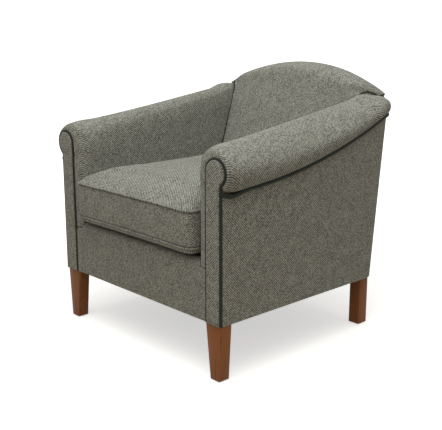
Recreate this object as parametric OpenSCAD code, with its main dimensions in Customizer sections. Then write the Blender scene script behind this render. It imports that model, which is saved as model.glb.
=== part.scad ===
// Tub chair: a fully upholstered easy chair with low scroll arms that rise to an arched back,
// one loose seat cushion, contrast piping round the arm fronts and four tapered wooden legs.
// Right and left are as seen from the front. Right-hand pieces are drawn, left-hand ones mirrored.

/* [Body] */
// Width over the outside arm panels
body_w = 720; // [660:5:800]
// Depth of the body at its underside
body_d = 651; // [600:1:720]
// Height of the underside above the floor
body_z = 160; // [120:1:200]
// Height of the seat deck under the cushion
deck_h = 320; // [290:1:350]
// Backward lean of the outside back, degrees
outer_lean = 5.8; // [3:0.1:8]
// Plan radius of the two back corners
corner_r = 40; // [30:1:50]

/* [Back] */
// Rise of the top of the arched back above the back of the arms
crest_rise = 78; // [60:1:110]
// Radius of the arch along the top of the back
crest_r = 716; // [600:4:900]
// Backward lean of the inside back, degrees
inner_lean = 16.7; // [12:0.1:18]
// Thickness of the padded back at seat height
back_t = 75; // [60:1:90]
// Height up to which the inside back stands upright behind the cushion
back_bend_h = 450; // [420:1:480]
// Crown of the inside back in front of its side seams
back_crown = 18; // [8:1:24]
// Crown of the outside back behind its corners
rear_crown = 22; // [8:1:26]
// Share of the top's depth that lies in front of its highest line
crest_peak_share = 0.82; // [0.5:0.01:0.9]

/* [Arms] */
// Thickness of an arm from its inside face to the outside panel
arm_w = 92; // [80:1:110]
// Height of the top of an arm at its front
arm_front_h = 622; // [590:1:660]
// Rise of an arm's top from its front to where it meets the back
arm_rise = 93; // [60:1:110]
// Depth of the crease under the roll below the top of the arm at its front
crease_front_drop = 110; // [100:1:130]
// Depth of the crease under the roll below the top of the arm at its back
crease_back_drop = 55; // [44:1:60]
// Outer radius of the roll at its front
roll_front_r = 50; // [44:1:56]
// Outer radius of the roll at its back
roll_back_r = 22; // [18:1:30]
// How far the roll stands out beyond the outside panel at its front
roll_front_proud = 34; // [26:1:40]
// How far the roll stands out beyond the outside panel at its back
roll_back_proud = 18; // [12:1:22]
// Radius of the roll's inner shoulder at its front
roll_inner_front_r = 61; // [50:1:62]
// Radius of the roll's inner shoulder at its back
roll_inner_r = 27; // [24:1:40]
// Radius of the soft front edge of an arm
arm_edge_r = 16; // [12:1:20]
// Diameter of the contrast piping in the crease under the roll
crease_piping_d = 12; // [8:0.5:14]

/* [Arm fronts] */
// Depth of the scroll head's centre below the top of the arm
head_drop = 60.5; // [50:0.5:70]
// Radius from the head's centre to the middle of the piping
head_r = 35.5; // [30:0.5:40]
// Diameter of the contrast piping round the facings
piping_d = 8; // [6:0.5:10]
// Thickness of the padded facing plate
facing_t = 10; // [8:0.5:14]
// Thickness of the plywood scroll board behind the facing
scroll_board_t = 6; // [4:0.5:9]

/* [Cushion] */
// Height of the boxing strip between the two piped seams
boxing_h = 100; // [80:1:120]
// How far the cushion stands out in front of the arm fronts
cushion_proud = 22; // [10:1:30]
// Crown of the cushion's top panel above its seam
cushion_crown = 48; // [25:1:50]
// Crown of the cushion's bottom panel below its seam
cushion_belly = 31; // [18:1:34]
// Plan radius of the cushion's corners
cushion_corner_r = 28; // [20:1:40]
// How far each side of the cushion is drawn in between its corners
cushion_draw_in = 4; // [2:0.5:8]
// Diameter of the cushion's self piping
welt_d = 6; // [4:0.5:7]
// Gap from the cushion to each arm
cushion_gap = 1; // [0.6:0.1:4]

/* [Legs] */
// Width of a front leg at its top
front_leg_top_w = 62; // [52:1:64]
// Width of a front leg at its foot
front_leg_foot_w = 35; // [28:1:42]
// Thickness of a front leg from front to back
front_leg_t = 36; // [30:1:38]
// How far the foot of a front leg stands outward of the middle of its top
front_leg_splay = 4; // [0:1:8]
// Distance from the arm fronts back to the front legs
front_leg_y = 8; // [4:1:12]
// Width and thickness of a back leg
back_leg_w = 39; // [34:1:42]
// Diameter of the felt glides
glide_d = 24; // [18:1:28]
// Thickness of the felt glides
glide_t = 2; // [1:0.5:4]
// Diameter of the leg bolts
bolt_d = 8; // [6:1:10]

/* [Frame] */
// Thickness of the seat rails
rail_t = 25; // [20:1:28]
// Depth of the seat deck's springs and padding above the seat rails
deck_fill_h = 35; // [30:1:50]
// Width of the posts across the chair
post_w = 38; // [34:1:42]
// Depth of the posts from front to back
post_t = 36; // [32:1:40]
// Thickness of the crest rail and the back tack rail
crest_t = 22; // [18:1:24]
// Diameter of the frame dowels
dowel_d = 10; // [8:1:12]
// Wire diameter of the zigzag seat springs
wire_d = 3.6; // [3:0.1:4]
// Number of zigzag seat springs
springs = 4; // [3:1:5]
// Bends in each seat spring
bends = 11; // [7:2:13]

/* [Hidden] */

$fn = 32;
cloth_t = 2;            // thickness of a cover with its lining
panel_t = 3;            // thickness of an outside panel, cloth over card
touch = 0.3;            // running clearance between soft pieces that meet
half_w = body_w / 2;
seat_d = body_d - back_t;
arm_back_h = arm_front_h + arm_rise;
crest_h = arm_back_h + crest_rise;
crease_front_h = arm_front_h - crease_front_drop;
crease_back_h = arm_back_h - crease_back_drop;
head_h = arm_front_h - head_drop;
inner_x = half_w - arm_w;
piping_r = piping_d / 2;
welt_r = welt_d / 2;
wire_r = wire_d / 2;
head_out_share = 0.41;  // how much of the roll's overhang the scroll head shares
head_x = half_w + head_out_share * roll_front_proud - head_r;
outer_slope = tan(outer_lean);
inner_slope = tan(inner_lean);
crest_pad = 27;         // rise of the padded top over its front inset line
crest_rear_pad = 6;     // rise of the padded top over its rear seam
mid_y = (body_d + rear_crown - cushion_proud
    + outer_slope * (crest_h - crest_rear_pad - body_z)) / 2;

// Places every piece with the chair's middle over the origin
module place() translate([0, -mid_y, 0]) children();
module right() place() children();
module left() place() mirror([1, 0, 0]) children();

function lerp(a, b, t) = a + (b - a) * t;
function clamp(t) = max(0, min(1, t));
function smooth(t) = let (c = clamp(t)) c * c * (3 - 2 * c);
// Outside back surface, corners and crown
function rear_y(z) = body_d + outer_slope * (z - body_z);
function rear_crown_y(x, z) =
    rear_y(z) + rear_crown * (1 - pow(min(1, abs(x) / (half_w - corner_r)), 2));
// Side seam of the inside back
function seam_y(z) = seat_d + inner_slope * (max(z, back_bend_h) - back_bend_h);

// Faces of a shell between two grids of ni by nj points, the second grid listed after the first
function quad(a, b, c, d, turn) = turn ? [[a, c, b], [a, d, c]] : [[a, b, c], [a, c, d]];
function rim(ni, nj) = concat(
    [for (i = [0:ni - 1]) i * nj], [for (j = [1:nj - 1]) (ni - 1) * nj + j],
    [for (i = [ni - 2:-1:0]) i * nj + nj - 1], [for (j = [nj - 2:-1:1]) j]);
function shell_faces(ni, nj, turn) = let (n = ni * nj, edge = rim(ni, nj), m = len(edge)) concat(
    [for (i = [0:ni - 2], j = [0:nj - 2]) let (a = i * nj + j)
        each quad(a, a + nj, a + nj + 1, a + 1, turn)],
    [for (i = [0:ni - 2], j = [0:nj - 2]) let (a = n + i * nj + j)
        each quad(a, a + nj, a + nj + 1, a + 1, !turn)],
    [for (k = [0:m - 1]) let (a = edge[k], b = edge[(k + 1) % m])
        each quad(b, a, n + a, n + b, turn)]);
module shell(outer, inner, turn = false) polyhedron(
    [for (row = outer) each row, for (row = inner) each row],
    shell_faces(len(outer), len(outer[0]), turn), convexity = 6);

// A body made of a stack of rings, or a closed loop of them
module rings(stack, loop = false, turn = false) {
    n = len(stack);
    m = len(stack[0]);
    sides = [for (i = [0:n - (loop ? 1 : 2)], j = [0:m - 1])
        let (k = (i + 1) % n, l = (j + 1) % m)
        each quad(i * m + j, k * m + j, k * m + l, i * m + l, turn)];
    caps = loop ? [] : [
        for (j = [1:m - 2]) turn ? [0, j + 1, j] : [0, j, j + 1],
        for (j = [1:m - 2]) let (a = (n - 1) * m) turn ? [a, a + j, a + j + 1] : [a, a + j + 1, a + j]];
    polyhedron([for (ring = stack) each ring], concat(sides, caps), convexity = 6);
}
// Rings of a round tube along a route of points
function unit(v) = v / norm(v);
function tube(route, r, n, loop = false, up = [0, 0, 1]) = let (m = len(route)) [for (i = [0:m - 1])
    let (
        a = route[loop ? (i + m - 1) % m : max(i - 1, 0)],
        b = route[loop ? (i + 1) % m : min(i + 1, m - 1)],
        s = unit(cross(unit(b - a), up)),
        u = cross(s, unit(b - a)))
    [for (k = [0:n - 1]) route[i] + r * (cos(360 * k / n) * s + sin(360 * k / n) * u)]];

// Arms: a front edge rounded back from the facing, a roll that rises and shrinks to the back,
// and a rear corner rounded into the outside back
arm_len = rear_y(crease_back_h) - corner_r / 2;
arm_rise_share = 1.18;
inner_fade_share = 0.42; // how soon the roll's inner shoulder tightens
crease_rise_share = 2;
dive = 8;               // how far the top of the roll dives under the shoulder of the back
roll_dive_share = 0.75;
arm_y_shares = [0.15, 0.27, 0.39, 0.51, 0.63, 0.75, 0.86];
edge_angles = [0, 30, 60, 90];
rear_angles = [0, 30, 60, 84];
face_steps = 4;
inner_steps = 5;
outer_steps = 8;
head_tangent = 60;
board_gap = 1;          // padding's clearance round the scroll board
core_x = head_x - head_r - board_gap;
arm_pad_t = core_x - inner_x - cloth_t;
foot_drop = 14;         // how far the arm cover reaches below the deck
arm_foot_z = deck_h - foot_drop;

function arm_top_h(u) = lerp(arm_front_h, arm_back_h, pow(u, arm_rise_share));
function crease_h(u) = lerp(crease_front_h, crease_back_h, pow(u, crease_rise_share));

// Outline over two circles: up the inside face, over the roll and down to the crease
function two_circles(x, z0, ci, ri, co, ro, end) = let (
    d = co - ci, l = norm(d),
    tangent = l < touch ? head_tangent : atan2(d.y, d.x) + acos(max(-1, min(1, (ri - ro) / l))))
    concat(
        [for (i = [0:face_steps - 1]) [x, lerp(z0, ci.y, i / face_steps)]],
        [for (i = [0:inner_steps]) let (a = lerp(180, tangent, i / inner_steps))
            ci + ri * [cos(a), sin(a)]],
        [for (i = [1:outer_steps]) let (a = lerp(tangent, end, i / outer_steps))
            co + ro * [cos(a), sin(a)]]);
// Arm section at share u of its length: t is the thickness taken off, stop the length kept
// free before the crease, sink how far its top lies under the full height
function roll(u, t, stop, sink = 0) = let (
    ro = lerp(roll_front_r, roll_back_r, u) - sink * roll_dive_share / 2,
    cx = half_w + lerp(roll_front_proud, roll_back_proud, u) - ro,
    cz = crease_h(u) + sqrt(ro * ro - pow(half_w - cx, 2)),
    end = -acos((half_w - cx) / ro) + stop / ro * 180 / PI,
    ri = lerp(roll_inner_front_r, roll_inner_r, pow(u, inner_fade_share)))
    two_circles(inner_x + t, arm_foot_z, [inner_x + ri, arm_top_h(u) - ri - sink], ri - t,
        [cx, cz], ro - t, end);
// Scroll head of the facing, grown by g from the middle line of its piping
function head_end(g) = -acos((half_w - head_x) / (head_r + piping_r));
function head(g, stop) = let (r = head_r + g)
    two_circles(head_x - r, arm_foot_z, [head_x, head_h], r, [head_x, head_h], r,
        head_end(g) + stop / r * 180 / PI);
function rear_u(a) = lerp(1 - corner_r / arm_len / 2, 1, sin(a));
// Rear end of an arm: behind the crest rail's front inside, at the back panel outside
function arm_end_y(p) = rear_y(p.y) - panel_t - touch
    - (crest_t + 7 * touch) * (1 - smooth((p.x - core_x - piping_r) / (corner_r / 2)));
function rear_row(section, a, t) = [for (p = section) [
    p.x > half_w - corner_r ? lerp(half_w - corner_r, p.x, cos(a)) : p.x,
    arm_end_y(p) - (corner_r - t) * (1 - sin(a)), p.y]];

// Rows of the arm's surface from front to back, t below the outside of the cover
rear_room = 10;         // more length kept free of the crease at the rear corner
function arm_rows(t, stop) = concat(
    [for (a = edge_angles) let (h = head(piping_r + 3 * touch, stop), f = roll(facing_t / arm_len, t, stop))
        [for (j = [0:len(f) - 1]) let (p = lerp(h[j], f[j], sin(a)))
            [p.x, facing_t - piping_r + t + (arm_edge_r - t) * (1 - cos(a)), p.y]]],
    [for (s = arm_y_shares) [for (p = roll(s, t, stop)) [p.x, s * arm_len, p.y]]],
    [for (a = rear_angles) rear_row(roll(rear_u(a), t, stop + rear_room * sin(a), dive * sin(a)), a, t)]);

// Inner side of the arm padding: round the scroll board, then over the arm rail
rail_lift_share = 0.45;
rail_round = touch;     // softened edges of the arm rail
function rail_top_h(u) = lerp(crease_h(u), arm_top_h(u), rail_lift_share);
function rail_wrap(u) = two_circles(core_x, arm_foot_z,
    [core_x + rail_round, rail_top_h(u) - rail_round], rail_round,
    [half_w - panel_t - rail_round, rail_top_h(u) - rail_round], rail_round, 0);
function arm_core_rows() = concat(
    [for (a = edge_angles) [for (p = head(board_gap, piping_r))
        [p.x, facing_t + touch + (arm_edge_r - cloth_t) * (1 - cos(a)), p.y]]],
    [for (s = arm_y_shares) [for (p = rail_wrap(s)) [p.x, s * arm_len, p.y]]],
    [for (a = rear_angles) rear_row(rail_wrap(rear_u(a)), a, cloth_t)]);

piping_proud = 2;       // how far the crease piping's middle stands out from the panel
crease_piping_r = crease_piping_d / 2;
crease_drop = crease_piping_r / 2;
crease_room = crease_piping_r + piping_proud - crease_drop + 3 * touch;
module arm_cover() color("#8d8f86")
    shell(arm_rows(0, crease_room), arm_rows(cloth_t, crease_room));
module arm_pad() color("#e3d6ae") shell(arm_rows(cloth_t, crease_room), arm_core_rows());
inside_arm_cover_left();
inside_arm_cover_right();
arm_pad_left();
arm_pad_right();
module inside_arm_cover_left() left() arm_cover();
module inside_arm_cover_right() right() arm_cover();
module arm_pad_left() left() arm_pad();
module arm_pad_right() right() arm_pad();

// Outside arm panel, wrapped round the rear corner
side_y_shares = [0.14, 0.26, 0.38, 0.5, 0.62, 0.74, 0.86];
function side_us() = concat([(facing_t + touch) / arm_len], side_y_shares);
panel_z_shares = [0, 0.5, 1];
function panel_top(u) = crease_h(u) - crease_drop - crease_piping_r - 3 * touch;
function panel_rows(t) = concat(
    [for (u = side_us()) [for (k = panel_z_shares)
        [half_w - t, u * arm_len, lerp(body_z, panel_top(u), k)]]],
    [for (a = concat(rear_angles, [90])) [for (k = panel_z_shares)
        let (z = lerp(body_z, panel_top(rear_u(a)), k)) [
            half_w - corner_r + (corner_r - t) * cos(a),
            rear_y(z) - corner_r + (corner_r - t) * sin(a), z]]]);
module outside_arm_panel() color("#7a786c") shell(panel_rows(0), panel_rows(panel_t), true);
outside_arm_panel_left();
outside_arm_panel_right();
module outside_arm_panel_left() left() outside_arm_panel();
module outside_arm_panel_right() right() outside_arm_panel();

// Contrast piping in the crease under the roll, round the rear corner to the back seam
function crease_route() = concat(
    [for (u = side_us()) [half_w + piping_proud, u * arm_len, crease_h(u) - crease_drop]],
    [for (a = rear_angles) let (z = crease_h(rear_u(a)) - crease_drop)
        [half_w - corner_r + (corner_r + piping_proud) * cos(a),
         rear_y(z) - corner_r + (corner_r + piping_proud) * sin(a), z]]);
module arm_piping() color("#20241f") rings(tube(crease_route(), crease_piping_r, piping_sides), false, true);
arm_piping_left();
arm_piping_right();
module arm_piping_left() left() arm_piping();
module arm_piping_right() right() arm_piping();

// Back: one grid over its inside face and over the arched top to the rear seam
side_x = inner_x - touch;
shoulder_x = half_w - corner_r - touch;
shoulder_r = 51;        // radius of the back's upper corners
shoulder_end = 50;      // angle at which a shoulder meets the arm, degrees
shoulder_set = 42;      // how far the shoulders lie behind the side seams
shoulder_share = 0.88;
cols = [-1, -0.94, -0.88, -0.7, -0.48, -0.24, 0, 0.24, 0.48, 0.7, 0.88, 0.94, 1];
face_h_shares = [0, 0.18, 0.36, 0.58, 0.8, 1];
blend_shares = [0.16, 0.33, 0.5, 0.75, 1];
top_angles = [25, 50, 75, 100, 125, 150, 175];
crest_inset = 38;       // distance from the top down to the crest rail
function arch(s, r_in) = let (
    a = min(abs(s), shoulder_share) / shoulder_share * shoulder_x,
    dir = [a, sqrt(crest_r * crest_r - a * a)] / crest_r,
    p = [0, crest_h - crest_r] + crest_r * dir,
    c = p - shoulder_r * dir,
    f = lerp(atan2(dir.y, dir.x), shoulder_end, clamp((abs(s) - shoulder_share) / (1 - shoulder_share))),
    n = abs(s) > shoulder_share ? [cos(f), sin(f)] : dir,
    q = abs(s) > shoulder_share ? c + shoulder_r * n : p,
    g = (q - r_in * n))
    [s < 0 ? -g.x : g.x, g.y];
end_start_share = 0.6;
function end_share(s) = smooth((abs(s) - end_start_share) / (1 - end_start_share));
function back_front_y(x, z) = seam_y(z)
    - back_crown * (1 - pow(min(1, abs(x) / side_x), 4))
    + shoulder_set * smooth((abs(x) - side_x) / (shoulder_x - side_x));
seam_top_h = arm_back_h - roll_inner_r;
// Point of the inside back's outline beside and above the arm, w from 0 to 1
bulge_end = 72;
function seam_bulge(w) = let (a = lerp(180, bulge_end, w), end = arch(1, end_rise),
    c = [inner_x + roll_inner_r, seam_top_h])
    c + (roll_inner_r + 8 * touch) * [cos(a), sin(a)] - lerp([side_x, seam_top_h], end, w);
end_rise = 5;           // front rounding left at the ends of the arch
end_inset = 9;          // depth of the padding at the ends of the arch
function front_rise(s) = lerp(crest_pad, end_rise, end_share(s));
function face_point(s, w, t) = let (
    low = [s * side_x, seam_top_h],
    top = arch(s, front_rise(s)),
    k = w < 1 ? pow(abs(s), 8) : 0,
    p = lerp(low, top, w) + k * [(s < 0 ? -1 : 1) * seam_bulge(w).x, seam_bulge(w).y])
    [p.x, back_front_y(p.x, p.y) + t, p.y];
function top_point(s, a, t) = let (
    front = arch(s, front_rise(s)),
    rear = arch(s, crest_rear_pad),
    p = arch(s, (a < 90 ? front_rise(s) : crest_rear_pad) * (1 - sin(a)) + t * sin(a)),
    y0 = back_front_y(front.x, front.y) + t,
    y1 = rear_crown_y(rear.x, rear.y) - (t > 0 ? panel_t + touch : 0),
    share = crest_peak_share - (a < 90 ? crest_peak_share : 1 - crest_peak_share) * cos(a))
    [p.x, lerp(y0, y1, share), p.y];
function back_rows(t) = concat(
    [for (k = face_h_shares) let (z = lerp(deck_h + touch, seam_top_h, k)) [for (s = cols)
        [s * side_x, back_front_y(s * side_x, z) + t, z]]],
    [for (w = blend_shares) [for (s = cols) face_point(s, w, t)]],
    [for (a = top_angles) [for (s = cols) top_point(s, a, t)]]);
// Inner side of the back padding, on the front of the frame and over the crest rail
function frame_front_y(x, z) = rear_y(z) - panel_t - 3 * touch
    - crest_t * (1 - smooth((abs(x) - side_x - arm_pad_t) / arm_pad_t));
function core_inset(s) = lerp(crest_inset, end_inset, end_share(s));
function core_share(s, w) = w < 1 ? w * (1 - pow(abs(s), 8)) : 1;
function back_core_rows() = concat(
    [for (k = face_h_shares) let (z = lerp(deck_h + touch, seam_top_h, k)) [for (s = cols)
        [s * side_x, frame_front_y(s * side_x, z), z]]],
    [for (w = blend_shares) [for (s = cols) let (
        q = face_point(s, w, 0), g = arch(s, core_inset(s)), k = core_share(s, w),
        p = [lerp(q.x, g.x, k), lerp(q.z, g.y, k)])
        [p.x, frame_front_y(p.x, p.y), p.y]]],
    [for (a = top_angles) [for (s = cols) let (p = arch(s, core_inset(s) - touch * sin(a)))
        [p.x, lerp(frame_front_y(p.x, p.y), rear_y(p.y) - panel_t - touch, (1 - cos(a)) / 2), p.y]]]);
inside_back_cover();
module inside_back_cover() color("#8f9087") place() shell(back_rows(0), back_rows(cloth_t));
back_pad();
module back_pad() color("#e3d6ae") place() shell(back_rows(cloth_t), back_core_rows());

// Outside back panel: from the underside to the rear seam of the top
panel_h_shares = [0, 0.45, 0.8, 0.955, 1];
panel_flare_share = 0.955;
function back_panel_rows(t) = [for (k = panel_h_shares) [for (s = cols)
    let (
        q = arch(s, crest_rear_pad + touch),
        x = lerp(s * shoulder_x, q.x, clamp((k - panel_flare_share) / (1 - panel_flare_share))),
        z = lerp(body_z, q.y, k))
    [x, rear_crown_y(x, z) - t, z]]];
outside_back_panel();
module outside_back_panel() color("#7a786c") place()
    shell(back_panel_rows(0), back_panel_rows(panel_t), true);

// Scroll outline grown by g from the middle line of the piping
fillet_r = 14;          // reverse curve under the scroll head
shaft_in = head_x - head_r;
shaft_out = half_w - piping_r;
fillet_x = shaft_out + fillet_r;
fillet_h = head_h - sqrt(pow(head_r + fillet_r, 2) - pow(fillet_x - head_x, 2));
fillet_a = atan2(fillet_h - head_h, fillet_x - head_x);
module scroll_outline(g) difference() {
    union() {
        translate([head_x, head_h]) circle(head_r + g, $fn = 64);
        translate([shaft_in - g, body_z]) square([shaft_out - shaft_in + 2 * g, fillet_h - body_z]);
        translate([shaft_in - g, body_z]) square([head_x - shaft_in + g, head_h - body_z]);
        polygon([[head_x, head_h], [fillet_x, fillet_h], [head_x, fillet_h]]);
    }
    translate([fillet_x, fillet_h]) circle(fillet_r - g);
}
// Lays a front outline down as a board t thick whose front is y behind the facing's front
module board(y, t) translate([0, y + t, 0]) rotate([90, 0, 0]) linear_extrude(t) children();

facing_layer_shares = [[0.1, 3], [0.3, 1.2], [1, 0]];    // depth shares and how far each steps in
module arm_facing() color("#7d7a70") {
    for (i = [0:len(facing_layer_shares) - 1]) {
        y0 = i == 0 ? 0 : facing_layer_shares[i - 1][0] * facing_t;
        y1 = facing_layer_shares[i][0] * facing_t;
        step = facing_layer_shares[i][1] * cloth_t / 2;
        board(y0, y1 - y0) scroll_outline(-piping_r - touch - step);
    }
}
arm_facing_left();
arm_facing_right();
module arm_facing_left() left() arm_facing();
module arm_facing_right() right() arm_facing();

module scroll_board() color("#c9a878") board(facing_t, scroll_board_t) scroll_outline(0);
scroll_board_left();
scroll_board_right();
module scroll_board_left() left() scroll_board();
module scroll_board_right() right() scroll_board();

// Piping round the facing: up the inner edge, over the head, through the reverse curve and down
head_steps = 16;
piping_sides = 10;
fillet_steps = 3;
head_angles = [for (k = [0:head_steps]) lerp(180, fillet_a, k / head_steps)];
fillet_angles = [for (k = [1:fillet_steps]) lerp(fillet_a + 180, 180, k / fillet_steps)];
function facing_route() = concat(
    [[shaft_in, body_z], [shaft_in, (body_z + head_h) / 2]],
    [for (a = head_angles) [head_x, head_h] + head_r * [cos(a), sin(a)]],
    [for (a = fillet_angles) [fillet_x, fillet_h] + fillet_r * [cos(a), sin(a)]],
    [[shaft_out, (body_z + fillet_h) / 2], [shaft_out, body_z]]);
module facing_piping() color("#20241f")
    rings(tube([for (p = facing_route()) [p.x, facing_t - piping_r, p.y]],
        piping_r, piping_sides, false, [0, 1, 0]), false, true);
facing_piping_left();
facing_piping_right();
module facing_piping_left() left() facing_piping();
module facing_piping_right() right() facing_piping();

// Front border: rolled over the front edge of the seat, lower under the arm fronts
border_y = 5;           // border's front behind the facing's front
border_round = 14;      // soft top edge of the border
border_lap = 32;        // depth of the border's top
rail_y = 22;            // front of the front seat rail
rail_lift = 3;          // seat rails above the underside of the body
rail_z = body_z + rail_lift;
rail_top = deck_h - deck_fill_h;
rail_h = rail_top - rail_z;
clip_t = 1.4;
hessian_z = rail_top + wire_d + clip_t + touch;
hessian_t = 1.5;
border_half = shaft_in - piping_r - touch;
module lap(t, top) {
    r = border_round - t;
    y = border_y + t;
    translate([y, body_z]) square([border_lap - t, top - t - r - body_z]);
    translate([y + r, body_z]) square([border_lap - t - r, top - t - body_z]);
    translate([y + r, top - t - r]) circle(r);
}
// Extrudes a side profile of depth and height across the chair
module across(x0, x1) translate([x0, 0, 0]) rotate([90, 0, 90]) linear_extrude(x1 - x0) children();
module border_parts() {
    across(-border_half, -side_x) children(1);
    across(-side_x, side_x) children(0);
    across(side_x, border_half) children(1);
}
module border_skin(top) difference() {
    lap(0, top);
    lap(cloth_t, top);
    translate([border_y + cloth_t, body_z - touch]) square([border_lap, touch * 2]);
}
module border_fill(top) difference() {
    lap(cloth_t, top);
    translate([rail_y - touch, body_z - touch])
        square([border_lap, hessian_z + hessian_t + 2 * touch - body_z]);
}
front_border_cover();
module front_border_cover() color("#7a776c") place() border_parts() {
    border_skin(deck_h);
    border_skin(arm_foot_z - touch);
}
front_border_pad();
module front_border_pad() color("#e3d6ae") place() border_parts() {
    border_fill(deck_h);
    border_fill(arm_foot_z - touch);
}

// A block from one corner to the other
module block(a, b) translate(a) cube(b - a);
deck_y0 = border_y + border_lap + touch;
deck_y1 = rear_y(deck_h) - panel_t - crest_t - post_t / 2;
seat_deck_pad();
module seat_deck_pad() color("#e3d6ae") place()
    block([-side_x + touch, deck_y0, hessian_z + hessian_t], [side_x - touch, deck_y1, deck_h - cloth_t]);
seat_deck_cover();
module seat_deck_cover() color("#6f6d64") place()
    block([-side_x, deck_y0, deck_h - cloth_t], [side_x, deck_y1, deck_h]);
seat_hessian();
module seat_hessian() color("#b39a6b") place()
    block([-core_x + touch, rail_y, hessian_z],
        [core_x - touch, back_rail_y + rail_t - 2 * touch, hessian_z + hessian_t]);
dust_t = 1.2;
dust_gap = 3;           // dust cover's clearance round the legs and posts
dust_cover();
module dust_cover() color("#2b2b2b") place() difference() {
    half = side_rail_x + rail_t;
    block([-half, rail_y, rail_z - dust_t], [half, back_rail_y + rail_t, rail_z]);
    for (x = [-1, 1]) {
        block_at(x, front_leg_x - front_leg_top_w / 2 - dust_gap, 0, front_post_back + dust_gap);
        block_at(x, back_leg_x - back_leg_w / 2 - dust_gap, post_front_y(body_z) - dust_gap, body_d);
    }
}
// Corner cut of the dust cover on side x, from x0 outwards and from y0 to y1
module block_at(x, x0, y0, y1) mirror([x < 0 ? 1 : 0, 0, 0])
    block([x0, y0, body_z], [half_w, y1, rail_z + dust_t]);

// Legs
leg_inset = 2;          // front legs stand this far inside the panels
back_leg_inset = 23;
front_leg_x = half_w - leg_inset - front_leg_top_w / 2;
back_leg_x = half_w - back_leg_inset - back_leg_w / 2;
back_leg_y = body_d - leg_inset - back_leg_w;
bolt_low_share = 0.62;
bolt_up = 26;           // length of a bolt inside its post
module bolt(x, y) translate([x, y, body_z * bolt_low_share])
    cylinder(h = body_z * (1 - bolt_low_share) + bolt_up, d = bolt_d);
module front_bolt() bolt(front_leg_x, front_leg_y + front_leg_t * 0.55);
module back_bolt() bolt(back_leg_x, back_leg_y + back_leg_w / 2);
module front_leg() color("#6b4428") difference() {
    translate([front_leg_x, front_leg_y + front_leg_t, 0]) rotate([90, 0, 0])
        linear_extrude(front_leg_t) polygon([
            [front_leg_splay - front_leg_foot_w / 2, glide_t],
            [front_leg_splay + front_leg_foot_w / 2, glide_t],
            [front_leg_top_w / 2, body_z], [-front_leg_top_w / 2, body_z]]);
    front_bolt();
}
module back_leg() color("#6b4428") difference() {
    translate([back_leg_x - back_leg_w / 2, back_leg_y, glide_t])
        cube([back_leg_w, back_leg_w, body_z - glide_t]);
    back_bolt();
}
front_leg_left();
front_leg_right();
back_leg_left();
back_leg_right();
module front_leg_left() left() front_leg();
module front_leg_right() right() front_leg();
module back_leg_left() left() back_leg();
module back_leg_right() right() back_leg();
module both() {
    right() children();
    left() children();
}
leg_bolts();
module leg_bolts() color("#9a9a9a") both() {
    front_bolt();
    back_bolt();
}
leg_glides();
module leg_glides() color("#3a3a3a") both() {
    translate([front_leg_x + front_leg_splay, front_leg_y + front_leg_t / 2, 0])
        cylinder(h = glide_t, d = glide_d);
    translate([back_leg_x, back_leg_y + back_leg_w / 2, 0]) cylinder(h = glide_t, d = glide_d);
}

// Timber frame
front_post_x = front_leg_x;
front_post_y = facing_t + scroll_board_t;
front_post_top = rail_top_h(0) - 2 * touch;
back_post_x = core_x + touch + post_w / 2;
post_set = 11;          // back of a back post in front of the outside back
function post_back_y(z) = rear_y(z) - post_set;
function post_front_y(z) = post_back_y(z) - post_t;
back_post_top = rail_top_h(rear_u(0)) - 2 * touch;
side_rail_set = 2.7;    // outer face of a side rail inside the posts' outer faces
side_rail_x = front_post_x + post_w / 2 - rail_t - side_rail_set;
back_rail_y = post_front_y(rail_top) - touch;
arm_rail_t = 28;
tack_w = 20;
tack_h = 50;
dowel_l = 32;
module dowel_y(x, y, z) translate([x, y - dowel_l / 2, z]) rotate([-90, 0, 0])
    cylinder(h = dowel_l, d = dowel_d);
module dowel_x(x, y, z) translate([x - dowel_l / 2, y, z]) rotate([0, 90, 0])
    cylinder(h = dowel_l, d = dowel_d);
rail_dowel_hs = [rail_z + rail_h * 0.25, rail_z + rail_h * 0.75];
module dowels() {
    for (z = rail_dowel_hs) {
        dowel_x(front_post_x - post_w / 2, rail_y + rail_t / 2, z);
        dowel_x(back_post_x - post_w / 2, back_rail_y + rail_t / 2, z);
        dowel_y(side_rail_x + rail_t / 2, front_post_y + post_t, z);
        dowel_y(side_rail_x + rail_t / 2, post_front_y(z), z);
    }
    dowel_y(front_post_x, front_post_y + post_t, rail_top_h(0) - arm_rail_t / 2);
    dowel_y(back_post_x, post_front_y(back_post_top), back_post_top - arm_rail_t / 2);
    for (z = [crest_low_h, tack_low_h], k = [1, 3]) let (h = z + k * dowel_d)
        dowel_x(back_post_x - post_w / 2, board_mid_y(h), h);
}
frame_dowels();
module frame_dowels() color("#d8bd8a") both() dowels();
// A piece of the right or left side with its dowel holes
module drilled() color("#c8a26b") difference() {
    children();
    dowels();
}
module front_post() drilled() difference() {
    block([front_post_x - post_w / 2, front_post_y, body_z],
        [front_post_x + post_w / 2, front_post_y + post_t, front_post_top]);
    front_bolt();
}
// A board whose side profile leans with the back
module lean(x0, x1, y_off, t, z0, z1) across(x0, x1) polygon([
    [rear_y(z0) - y_off - t, z0], [rear_y(z0) - y_off, z0],
    [rear_y(z1) - y_off, z1], [rear_y(z1) - y_off - t, z1]]);
module back_post() drilled() difference() {
    lean(back_post_x - post_w / 2, back_post_x + post_w / 2, post_set, post_t, body_z, back_post_top);
    back_bolt();
}
module side_rail() drilled() across(side_rail_x, side_rail_x + rail_t) polygon([
    [front_post_y + post_t, rail_z], [post_front_y(rail_z), rail_z],
    [post_front_y(rail_top), rail_top], [front_post_y + post_t, rail_top]]);
module tack_rail() drilled() across(core_x + touch, core_x + touch + tack_w) polygon([
    [front_post_y + post_t, tack_z], [post_front_y(tack_z), tack_z],
    [post_front_y(tack_z + tack_h), tack_z + tack_h], [front_post_y + post_t, tack_z + tack_h]]);
tack_z = deck_h + foot_drop / 2;
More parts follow.
